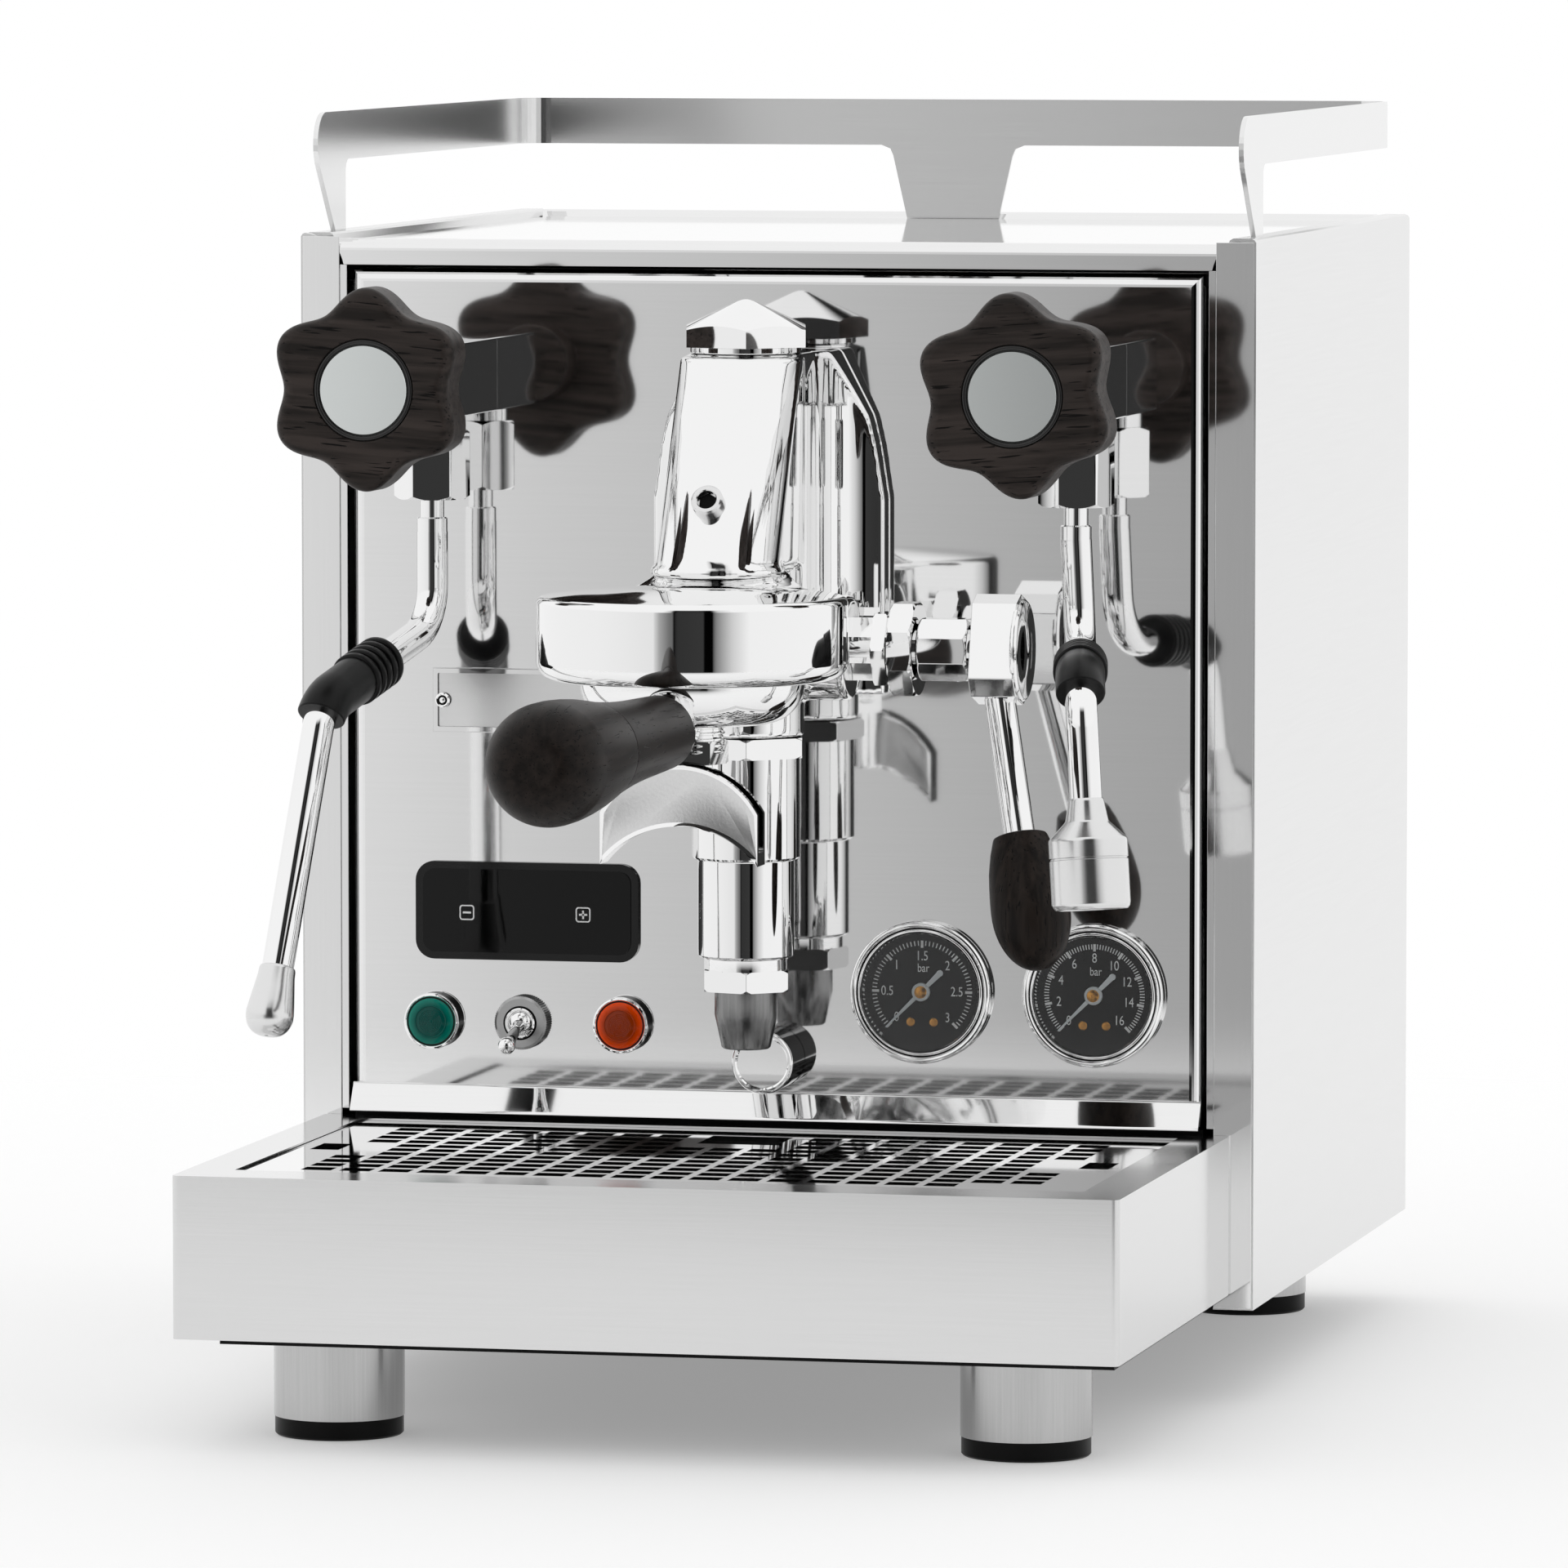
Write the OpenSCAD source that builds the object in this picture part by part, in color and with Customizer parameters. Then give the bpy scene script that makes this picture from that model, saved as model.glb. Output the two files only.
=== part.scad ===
// Espresso machine for the kitchen worktop: a sheet steel case, a lever-operated brew group,
// two valves with swivelling wands, a drip tray drawer and a lift-off cup tray.
// Millimetres. The origin is on the floor, in the middle of the width, in the plane of the
// front panel. +X is to the user's right, +Y to the back, +Z up.

/* [Case] */
// Width over the side panels
case_w = 300; // [290:1:400]
// Depth from the front panel to the rear panel
case_d = 275; // [262:1:360]
// Height of the rim round the top
case_top = 355.7; // [345:0.1:440]
// Height of the underside of the case
case_floor = 28.7; // [24:0.1:45]
// Thickness of the sheet steel
sheet = 1.5; // [1:0.1:2]
// Radius of the bends at the edges of the front panel
panel_bend = 4; // [3:0.5:6]
// Width of the folded front edge of a side panel
flange_w = 12.4; // [10:0.1:16]
// Gap between that edge and the front panel
panel_gap = 3.6; // [2:0.1:6]
// Lower edge of the front panel
panel_bottom = 83.5; // [82.6:0.1:90]
// Top edge of the front panel, below the rim
panel_drop = 10.8; // [9.8:0.1:14]
// Depth of the folds behind the front panel
panel_fold = 12; // [8:1:20]
// Width of the rim round the top
rim_w = 9; // [8:0.5:12]
// Depth of the cup area below the rim
rim_rise = 3.7; // [2.5:0.1:5]
// Height of the front lip of the top cover
lip_h = 8; // [7:0.1:9]

/* [Cup tray and rail] */
// Gap between the cup tray and the edge of the cover, left and right
cup_tray_margin = 13; // [11:0.5:20]
// Distance from the front panel to the cup tray
cup_tray_front = 5.5; // [5:0.5:12]
// Distance from the rear panel to the cup tray
cup_tray_rear = 15; // [14:0.5:25]
// Distance from the case side to the rail
rail_inset = 4; // [3:0.5:6]
// Top of the rail above the rim
rail_rise = 37; // [25:0.5:60]
// Height of the rail's band
rail_band = 15; // [12:0.5:20]
// Distance from the rear panel to the rail
rail_rear = 10.6; // [10.6:0.1:14]
// Radius of the rail's bends
rail_bend = 10; // [6:0.5:16]
// Depth of a front leg at its foot
rail_leg = 12.3; // [8:0.1:16]
// Rear edge of the front legs
rail_leg_rear = 33; // [30:0.5:45]
// Width of the rear leg at its foot
rear_leg_w = 30; // [20:1:40]
// Width of the rear leg where it meets the band
rear_leg_top_w = 42; // [36:1:60]

/* [Drip tray] */
// Distance from the case side to the tray
tray_inset = 7.2; // [5:0.1:12]
// Reach of the tray in front of the panel
tray_reach = 175.4; // [150:0.1:215]
// Underside of the tray
tray_bottom = 33.5; // [33.5:0.1:36]
// Top of the tray's rim
tray_top = 82.2; // [70:0.1:82.2]
// Width of the front rim
tray_front_rim = 19; // [14:0.5:25]
// Width of the side rims
tray_side_rim = 14.3; // [12:0.1:20]
// Width of the rear rim
tray_rear_rim = 10.6; // [8:0.1:14]
// Gap between the tray and what it slides past
tray_gap = 0.3; // [0.2:0.1:0.6]
// Depth of the grid below the rim
grid_drop = 0.7; // [0.5:0.1:2]
// Gap between the grid and the rim
grid_gap = 0.4; // [0.2:0.1:0.8]
// Spacing of the slot columns
slot_pitch_x = 11.85; // [10:0.05:15]
// Spacing of the slot rows
slot_pitch_y = 10.93; // [9:0.05:14]
// Width of a slot
slot_w = 9.3; // [6:0.1:9.5]
// Length of a slot
slot_l = 7.9; // [5:0.1:8.4]
// Half width of the cutout under the exhaust nozzle
grid_cut_w = 12.5; // [11:0.5:16]

/* [Feet] */
// Radius of a foot
foot_r = 19.6; // [15:0.1:24]
// Height of the rubber pad
pad_h = 5.8; // [4:0.1:8]
// Distance from the case side to a foot's centre
foot_inset = 44.9; // [30:0.1:60]
// Distance from the tray front to the front feet's centres
foot_front = 50.7; // [35:0.1:70]
// Distance from the rear panel to the rear feet's centres
foot_rear = 45; // [30:1:60]

/* [Panel fittings] */
// Width of the display frame
display_w = 71; // [60:1:80]
// Height of the display frame
display_h = 30.4; // [24:0.1:36]
// Display centre, left of the middle
display_x = 78; // [74:0.5:84]
// Display centre height
display_z = 146.6; // [144:0.1:152]
// Corner radius of the display frame
display_r = 6; // [3:0.5:10]
// Height of the lamps and the switch
lamp_z = 112.2; // [104:0.1:114]
// Green lamp, left of the middle
green_x = 108.6; // [104:0.1:112]
// Power switch, left of the middle
switch_x = 79.6; // [76:0.1:84]
// Orange lamp, left of the middle
orange_x = 48.4; // [44:0.1:52]
// Radius of a lamp bezel
lamp_r = 9.15; // [7:0.05:11]
// Travel of the switch lever in degrees
switch_travel = 34; // [20:1:40]
// Length of the switch lever
switch_l = 21; // [14:1:26]
// Radius of a gauge bezel
gauge_r = 22; // [20:0.5:24]
// Gauge centre height
gauge_z = 124.4; // [118:0.1:130]
// Boiler gauge, right of the middle
boiler_gauge_x = 46.7; // [44:0.1:50]
// Pump gauge, right of the middle
pump_gauge_x = 100.6; // [98:0.1:106]
// Badge plate width
badge_w = 60; // [40:1:70]
// Badge plate height
badge_h = 20; // [14:0.5:24]
// Badge plate centre, left of the middle
badge_x = 78; // [74:0.5:82]
// Badge plate centre height
badge_z = 211.8; // [205:0.1:216]
// Outer radius of the drain stub
drain_r = 9.75; // [7:0.05:11]
// Drain stub height
drain_z = 103; // [101:0.5:108]
// Reach of the drain stub
drain_l = 17; // [12:0.5:18]

/* [Brew group] */
// Distance of the group's valve axis from the panel
valve_y = 38; // [34:0.5:44]
// Distance of the bell's axis from the panel
bell_y = 109; // [105:0.5:125]
// Radius of the bell
bell_r = 46.5; // [45:0.5:52]
// Lower edge of the bell
bell_bottom = 227.1; // [220:0.1:232]
// Height of the bell's side
bell_h = 24.9; // [23:0.1:30]
// Top of the casting
group_top = 321.5; // [310:0.5:330]
// Radius of the casting's column
column_r = 17.7; // [16:0.1:20]
// Radius of the casting's leaning front tube
front_tube_r = 18.5; // [14:0.1:20]
// Width of the hexagonal cap over flats
cap_af = 36; // [30:0.5:38]
// Slope of the cap's cone in degrees
cap_slope = 24.8; // [18:0.1:32]
// Radius of the infusion chamber
chamber_r = 16.4; // [13:0.1:17.5]
// Length of the infusion chamber
chamber_l = 31; // [24:0.5:36]
// Radius of the lower cylinder
lower_r = 14.7; // [11:0.1:16]
// Length of the lower cylinder
lower_l = 29.2; // [22:0.1:34]
// Radius of the cavity in the bell
bell_bore = 36.5; // [35:0.1:38]
// Radius of the opening between the bell's lips
lip_bore = 35.3; // [34.9:0.1:36]
// Turn of the portafilter from its entry slots to the front, in degrees
lock_turn = 45; // [35:1:60]

/* [Brew lever] */
// Distance of the lever's axis from the panel
lever_y = 32.5; // [30:0.5:38]
// Height of the lever's axis
lever_z = 231.9; // [228:0.1:240]
// Radius of the cam shaft
shaft_r = 6; // [4:0.1:7]
// Running clearance of shafts and stems
running_fit = 0.1; // [0.05:0.01:0.1]
// Reach of the casting's boss from the middle
boss_end = 32; // [28:0.5:36]
// Height of the lever's hub
hub_h = 33; // [28:0.5:36]
// Radius of the lever rod
rod_r = 4.75; // [3.5:0.05:6]
// Length of the rod between hub and grip
rod_l = 42.9; // [30:0.1:60]
// Length of the lever grip
grip_l = 41.8; // [34:0.1:60]
// Largest radius of the lever grip
grip_r = 12; // [10:0.1:15]
// Forward lean of the lever at rest in degrees
lever_lean = 15.6; // [5:0.1:25]
// Outward lean of the lever in degrees
lever_spread = 11.9; // [0:0.1:16]

/* [Portafilter] */
// Radius of the portafilter's ring
ring_r = 34.5; // [34:0.1:34.6]
// Inner radius of the basket
basket_r = 29.2; // [29:0.1:29.3]
// Thickness of the basket's sheet
basket_wall = 0.7; // [0.5:0.1:0.9]
// Height of the bowl under the bell
bowl_h = 13; // [11:0.1:18]
// Distance from the bowl's axis to the wooden handle
handle_start = 40.5; // [38:0.5:55]
// Length of the wooden handle
handle_l = 141.5; // [110:0.5:150]
// Largest radius of the handle
handle_r = 17.9; // [15:0.1:21]
// Droop of the handle in degrees
handle_droop = 0; // [0:0.1:8]
// Half width of the double spout
spout_w = 24; // [20:0.1:26]
// Distance of the double spout's front from the bowl's axis
spout_front = 18; // [17:0.5:19]
// Width of the double spout from front to back
spout_d = 10; // [10:0.1:11]

/* [Valves and wands] */
// Valve axes, left and right of the middle
valve_x = 100.5; // [98:0.5:112]
// Valve axis height
valve_z = 312.5; // [305:0.1:325]
// Side of a square valve block
block_side = 22.6; // [20:0.1:26]
// Distance of the wands' swivel axes from the panel
swivel_y = 30; // [26:0.5:36]
// Distance of a knob's back from the panel
knob_back = 98; // [84:0.5:104]
// Thickness of a knob
knob_d = 20; // [16:0.5:26]
// Radius over a knob's lobes
knob_r = 30.5; // [26:0.1:34]
// Depth of the valleys between the lobes
knob_valley = 5.2; // [3:0.1:7]
// Width of a union nut over flats
union_af = 20.3; // [18:0.1:22]
// Radius of a wand's tube
wand_r = 4.8; // [4:0.1:6]
// Radius of a wand's neck in its nut
neck_r = 3.7; // [3:0.1:4]
// Direction of the steam wand, degrees outward from straight ahead
steam_turn = 13.5; // [0:0.1:30]
// Direction of the water wand, degrees outward from straight ahead
water_turn = 12.4; // [0:0.1:30]

/* [Inside] */
// Radius of the boiler
boiler_r = 58; // [45:1:62]
// Length of the boiler
boiler_l = 196; // [150:1:205]
// Boiler axis, behind the panel
boiler_y = 100; // [90:1:105]
// Boiler axis height
boiler_z = 236; // [225:1:245]
// Depth of the water tank
tank_d = 78; // [60:1:80]
// Height of the water tank
tank_h = 222; // [180:1:228]
// Wall of the water tank
tank_wall = 2.5; // [2:0.1:4]
// Width of the power inlet's flange
inlet_w = 50; // [40:1:60]

/* [Hidden] */
$fn = 64;
BEND_FN = 32;
in_x = case_w / 2 - sheet;
panel_x = case_w / 2 - flange_w - panel_gap;
panel_top = case_top - panel_drop;
plate_top = case_top - rim_rise;
pan_top = case_floor + sheet;
rim_inner = case_w / 2 - rim_w;
corner_r = flange_w;
slit = 0.1;

tray_x = case_w / 2 - tray_inset;
tray_inner_x = tray_x - tray_side_rim;
tray_y0 = -tray_reach + tray_front_rim;
tray_y1 = -tray_rear_rim;
grid_top = tray_top - grid_drop;
grid_x = tray_inner_x - grid_gap;
grid_bottom = grid_top - sheet;
grid_margin = 16;
slot_columns = floor((2 * grid_x - grid_margin * 2 + slot_pitch_x) / slot_pitch_x);
slot_rows = floor((tray_y1 - tray_y0 - 14 + slot_pitch_y - slot_l) / slot_pitch_y);

rail_x = case_w / 2 - rail_inset;
rail_top = case_top + rail_rise;
rail_low = rail_top - rail_band;
rail_y = case_d - rail_rear;

cap_slope_h = cap_af / 2 * tan(cap_slope);
bell_top = bell_bottom + bell_h;
lip_h_bell = 4.2;
groove_top = bell_bottom + 10.2;
gasket_top = bell_bottom + 18.2;
screen_top = gasket_top - 5.5;
ring_top = groove_top - 1.1;
bowl_bottom = bell_bottom - bowl_h;
spout_rear = spout_d - spout_front;
spout_wall = 1.9;
boss_low = bowl_bottom - 29.6;
column_bottom = lever_z - 26.9;
hex_bottom = column_bottom - 6.2;
chamber_bottom = hex_bottom - chamber_l;
lower_bottom = chamber_bottom - 0.8 - lower_l;

// ends of the leaning front tube, and the directions up it and out of its front
tube_top = [0, -valve_y - 5, group_top - 1.5];
tube_foot = [0, 32 - bell_y, bell_top + 5];
tube_up = unit(tube_top - tube_foot);
tube_out = [0, -tube_up[2], tube_up[1]];
neck_top = bell_top + 6;
flare_slope = 11.5;

lever_dir = unit([tan(lever_spread), -tan(lever_lean), -1]);
hub_x = 70.6;
hub_w = 14;
rod_start = hub_point(hub_h / 2 - 2);

block_low = valve_z - block_side / 2;
nut_top = block_low - 4.2;
nut_bottom = nut_top - 21.5;
block_front = 48;
bonnet_front = 58;
hub_front = knob_back - 12;
wand_top = nut_top - 4;
disc_seat_r = 15.3;
knob_x = valve_x - 1.7;
pivot_out = 3.5;
inlet_x = case_w / 2 - 60;
inlet_z = case_floor + 40;
inlet_flange = 1;
// half of how much further the handle reaches forward than the inlet's flange reaches back
centre_shift = (bell_y + handle_start + handle_l - case_d - inlet_flange) / 2;

steam_route = wand_route(-1, steam_turn,
    [[0, nut_bottom - 10], [0, nut_bottom - 38.5], [70.5, nut_bottom - 58.5], [98.5, nut_bottom - 135.5]]);
water_route = concat(
    wand_route(1, water_turn, [[0, nut_bottom - 10]]),
    [[valve_x + 1.6, -swivel_y, nut_bottom - 44.5]],
    wand_route(1, water_turn, [[69.6, nut_bottom - 48.5]]),
    [[valve_x + 17.5, -swivel_y - 71.5, nut_bottom - 82.5]]);
wand_bend = 16;

tank_y1 = case_d - 13;
tank_z = panel_bottom + 36;
tank_x = in_x - cup_tray_margin - 20;

// ---- Helpers ----------------------------------------------------------------

function unit(v) = v / norm(v);
function arc(c, r, a0, a1, n = 8) =
    [for (i = [0:n]) [c[0] + r * cos(a0 + (a1 - a0) * i / n), c[1] + r * sin(a0 + (a1 - a0) * i / n)]];

// A point on the lever's line, at a height below the lever's axis.
function hub_point(drop) =
    [hub_x + 4.8 + drop * tan(lever_spread), -lever_y - drop * tan(lever_lean), lever_z - drop];

// Points of a wand in a vertical plane through its swivel axis, from [outward, height] pairs.
function wand_route(side, turn, points) =
    [for (p = points) [side * (valve_x + p[0] * sin(turn)), -swivel_y - p[0] * cos(turn), p[1]]];

module box(x0, x1, y0, y1, z0, z1)
    translate([x0, y0, z0])
    cube([x1 - x0, y1 - y0, z1 - z0]);

// An XZ outline given depth from y0 to y1.
module extrude_y(y0, y1)
    translate([0, y1, 0])
    rotate([90, 0, 0])
    linear_extrude(y1 - y0)
    children();

// A YZ outline given width from x0 to x1.
module extrude_x(x0, x1)
    translate([x0, 0, 0])
    rotate([90, 0, 90])
    linear_extrude(x1 - x0)
    children();

// Places a fitting on the panel: its +Z points out to the user and its +Y up.
module on_panel(x, z, y = 0)
    translate([x, y, z])
    rotate([90, 0, 0])
    children();

// Turns +Z to point from one point to another.
module along(from, to) {
    v = to - from;
    translate(from)
    rotate([0, acos(v[2] / norm(v)), atan2(v[1], v[0])])
    children();
}

module rounded_rect(w, h, r)
    hull()
    for (x = [-1, 1], y = [-1, 1])
        translate([x * (w / 2 - r), y * (h / 2 - r)])
        circle(r, $fn = BEND_FN);

// Outline of a flat part whose front corners are rounded, from x = -w/2 and y = 0.
module bent_front(w, d, r)
    hull() {
        translate([-w / 2, d - 1])
        square([w, 1]);
        for (x = [-1, 1])
            translate([x * (w / 2 - r), r])
            circle(r, $fn = BEND_FN);
    }

module ring(r, bore)
    difference() {
        circle(r);
        if (bore > 0)
            circle(bore);
    }

module tube_z(r, bore, h)
    linear_extrude(h)
    ring(r, bore);

module hexagon(af, h)
    cylinder(r = af / 2 / cos(30), h = h, $fn = 6);

// A tube along a route, with round bends at its inner points. A straight stretch ends inside
// its bends, which are thicker by a hair, so that the two meet cleanly.
module bent_tube(route, r, bore, bend) {
    hair = 0.02;
    lap = 0.5;
    n = len(route);
    dirs = [for (i = [0:n - 2]) unit(route[i + 1] - route[i])];
    turns = [for (i = [0:n - 1]) i == 0 || i == n - 1 ? 0 : acos(dirs[i - 1] * dirs[i])];
    cuts = [for (a = turns) a == 0 ? 0 : bend * tan(a / 2) - lap];
    for (i = [0:n - 2]) {
        from = route[i] + dirs[i] * cuts[i];
        to = route[i + 1] - dirs[i] * cuts[i + 1];
        along(from, to)
        tube_z(r, bore, norm(to - from));
    }
    for (i = [1:1:n - 2]) {
        side = unit(dirs[i] - dirs[i - 1] * (dirs[i - 1] * dirs[i]));
        up = cross(-side, dirs[i - 1]);
        centre = route[i] - dirs[i - 1] * (cuts[i] + lap) + side * bend;
        multmatrix([for (k = [0:2]) [-side[k], dirs[i - 1][k], up[k], centre[k]]])
        rotate_extrude(angle = turns[i])
        translate([bend, 0])
        ring(r + hair, bore > 0 ? bore - hair : 0);
    }
}

// ---- Case -------------------------------------------------------------------

module base_frame() color("dimgray") {
    tongue_x = tray_x - 6.8;
    bulkhead_y = 2;
    // the pan under the case, with its edges turned up to the side panels
    difference() {
        box(-in_x, in_x, bulkhead_y, case_d - sheet, case_floor, case_floor + 20);
        box(-in_x + sheet, in_x - sheet, bulkhead_y + sheet, case_d - sheet * 2, pan_top, case_floor + 21);
    }
    // the bulkhead between the tray and the case
    box(-panel_x, panel_x, bulkhead_y, bulkhead_y + sheet, case_floor, panel_bottom);
    // the tongue that the tray slides on
    difference() {
        box(-tongue_x, tongue_x, -tray_reach + 6.8, bulkhead_y + sheet, case_floor, tray_bottom - tray_gap);
        box(-tongue_x + sheet, tongue_x - sheet, -tray_reach + 6.8 + sheet, bulkhead_y,
            pan_top, tray_bottom);
        for (x = [-90, 90])
            box(x - 14, x + 14, -tray_reach / 2 - 40, -tray_reach / 2 + 20, case_floor - 1, pan_top + 1);
    }
    // the boiler's two saddles
    for (x = [-28, 28])
        difference() {
            box(x - 1.5, x + 1.5, boiler_y - boiler_r * 0.8, boiler_y + boiler_r * 0.8, pan_top,
                boiler_z - boiler_r * 0.55);
            translate([x - 2, boiler_y, boiler_z])
            rotate([0, 90, 0])
            cylinder(r = boiler_r + slit, h = 4);
            box(x - 2, x + 2, boiler_y - boiler_r * 0.5, boiler_y + boiler_r * 0.5, 70, 130);
        }
    // the shelf for the water tank
    box(-in_x + sheet, in_x - sheet, tank_y1 - tank_d - 3, tank_y1, tank_z - sheet, tank_z);
    for (s = [-1, 1])
        box(s * (in_x - sheet * 1.5) - sheet / 2, s * (in_x - sheet * 1.5) + sheet / 2,
            tank_y1 - tank_d - 3, tank_y1, pan_top, tank_z - sheet);
}

module feet_places()
    for (x = [-1, 1], y = [-tray_reach + foot_front, case_d - foot_rear])
        translate([x * (case_w / 2 - foot_inset), y, 0])
        children();

module foot_sleeves() color("silver")
    feet_places()
    difference() {
        translate([0, 0, pad_h])
        cylinder(r = foot_r, h = case_floor - pad_h);
        translate([0, 0, pad_h - 1])
        cylinder(r = foot_r - 2, h = 9);
    }

module foot_pads() color("black")
    feet_places()
    rotate_extrude()
    polygon([
        [0, 0], [foot_r - 0.9, 0], [foot_r - 0.3, 0.6], [foot_r - 0.3, pad_h],
        [foot_r - 2.1, pad_h], [foot_r - 2.1, pad_h + 7], [0, pad_h + 7],
    ]);

module front_panel() color("lightsteelblue")
    difference() {
        union() {
            difference() {
                panel_pan(0, panel_fold);
                panel_pan(sheet, panel_fold + 1);
            }
            for (s = [-1, 1])
                box(min(s * (panel_x - sheet), s * in_x), max(s * (panel_x - sheet), s * in_x),
                    panel_fold - sheet, panel_fold, panel_bottom + panel_bend, panel_top - panel_bend);
        }
        on_panel(-display_x, display_z, 3)
        linear_extrude(5)
        rounded_rect(display_w - 3 + slit * 2, display_h - 3 + slit * 2, display_r - 1.5);
        for (x = [-green_x, -orange_x])
            on_panel(x, lamp_z, 3)
            cylinder(r = lamp_r - 1.65, h = 5);
        on_panel(-switch_x, lamp_z, 3)
        cylinder(r = 6 + slit, h = 5);
        for (x = [boiler_gauge_x, pump_gauge_x])
            on_panel(x, gauge_z, 3)
            cylinder(r = gauge_r - 2.3, h = 5);
        on_panel(0, drain_z, 3)
        cylinder(r = drain_r + slit, h = 5);
    }

// The front panel's outer form, shrunk by a wall.
module panel_pan(wall, depth)
    intersection() {
        translate([0, wall, 0])
        linear_extrude(case_top)
        bent_front(2 * (panel_x - wall), depth - wall, panel_bend - wall);
        translate([0, wall, (panel_bottom + panel_top) / 2])
        rotate([90, 0, 90])
        translate([0, 0, -case_w / 2])
        linear_extrude(case_w)
        rotate(-90)
        bent_front(panel_top - panel_bottom - 2 * wall, depth - wall, panel_bend - wall);
    }

// The right side panel; the left one is its mirror image.
module side_panel() {
    height = case_top - sheet - case_floor;
    difference() {
        union() {
            // outer sheet with its front and rear edges folded in
            translate([0, 0, case_floor])
            linear_extrude(height)
            difference() {
                translate([case_w / 2 - flange_w, 0])
                square([flange_w, case_d]);
                translate([case_w / 2 - flange_w - 1, sheet])
                square([flange_w + 1 - sheet, case_d - 2 * sheet]);
            }
            // the rim folded in along the top
            extrude_y(0, case_d)
            polygon([
                [case_w / 2 - sheet, case_top - rim_rise - 2], [case_w / 2, case_top - rim_rise - 2],
                [case_w / 2, case_top - 1.2], [case_w / 2 - 0.5, case_top - 0.4],
                [case_w / 2 - 1.4, case_top], [rim_inner + 1, case_top], [rim_inner, case_top - 0.6],
                [rim_inner - 1.4, plate_top], [rim_inner + 0.2, plate_top],
                [rim_inner + 1.4, case_top - sheet], [case_w / 2 - sheet, case_top - sheet],
            ]);
        }
        // room for the end of the rear rim
        box(case_w / 2 - flange_w - 1, rim_inner - 1.4, case_d - sheet - 1, case_d + 1, plate_top - 3,
            case_top + 1);
        // the rounded corner of the front edge
        extrude_y(-1, sheet + 3)
        difference() {
            translate([case_w / 2 - flange_w - 5, case_top - corner_r])
            square([flange_w + 5.01, corner_r + 1]);
            translate([case_w / 2, case_top - corner_r])
            circle(corner_r);
        }
    }
}

module right_side_panel() color("gainsboro")
    side_panel();

module left_side_panel() color("gainsboro")
    mirror([1, 0, 0])
    side_panel();

module rear_panel() color("gainsboro")
    difference() {
        union() {
            box(-case_w / 2 + flange_w + slit, case_w / 2 - flange_w - slit, case_d - sheet, case_d,
                case_floor + 0.3, case_top - rim_rise - 3);
            // strips behind the side panels' rear edges
            for (s = [-1, 1])
                box(min(s * (in_x - slit), s * (in_x - 24)), max(s * (in_x - slit), s * (in_x - 24)),
                    case_d - 2 * sheet, case_d - sheet, pan_top + 19, case_top - rim_rise - 3);
        }
        // vents
        for (z = [0:9], x = [-2:2])
            box(x * 44 - 16, x * 44 + 16, case_d - 2, case_d + 1, 200 + z * 12, 204 + z * 12);
        box(inlet_x - inlet_w / 2 + 11, inlet_x + inlet_w / 2 - 11, case_d - 5, case_d + 1,
            inlet_z - 10.2, inlet_z + 10.2);
    }

module top_cover() color("gainsboro")
    difference() {
        union() {
            // the plate with its opening over the water tank
            box(-in_x, in_x, sheet + slit, case_d - sheet - slit, plate_top - sheet, plate_top);
            // front lip with a rounded top edge
            extrude_x(-rim_inner + 1.5, rim_inner - 1.5)
            polygon(concat(
                [[0, case_top - rim_rise - 6]],
                arc([3.6, case_top - 5.3], 3.6, 180, 90),
                [[5, case_top - 1.7], [5, plate_top - sheet], [sheet, plate_top - sheet],
                 [sheet, case_top - rim_rise - 6]]
            ));
            // rear rim
            extrude_x(-rim_inner + 1.5, rim_inner - 1.5)
            polygon([
                [case_d - rim_w - 1.4, plate_top], [case_d - rim_w, case_top - 0.6],
                [case_d - rim_w + 1, case_top], [case_d - 1.4, case_top], [case_d - 0.4, case_top - 0.5],
                [case_d, case_top - 1.4], [case_d, plate_top - 2.9], [case_d - sheet, plate_top - 2.9],
                [case_d - sheet, case_top - sheet], [case_d - rim_w + 1.4, case_top - sheet],
                [case_d - rim_w + 0.2, plate_top - 0.5],
            ]);
        }
        // the lip's ends follow the side panels' round corners
        for (s = [-1, 1])
            extrude_y(-1, sheet + 4)
            translate([s * case_w / 2, case_top - corner_r])
            circle(corner_r + 1.5);
        tray_well(cup_tray_margin + 14, 16, 16);
    }

// The room that the cup tray's edge hangs in.
module tray_well(side, front, rear)
    box(-in_x + side, in_x - side, cup_tray_front + front, case_d - cup_tray_rear - rear,
        plate_top - 8, plate_top + 8);

module cup_tray() color("whitesmoke") {
    edge = cup_tray_margin + 14 + grid_gap;
    difference() {
        union() {
            box(-in_x + cup_tray_margin, in_x - cup_tray_margin, cup_tray_front, case_d - cup_tray_rear,
                plate_top + slit, plate_top + slit + sheet);
            box(-in_x + edge, in_x - edge, cup_tray_front + 16 + grid_gap,
                case_d - cup_tray_rear - 16 - grid_gap, plate_top - 5, plate_top + sheet);
        }
        box(-in_x + edge + sheet, in_x - edge - sheet, cup_tray_front + 16 + grid_gap + sheet,
            case_d - cup_tray_rear - 16 - grid_gap - sheet, plate_top - 6, plate_top + slit);
    }
}

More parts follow.
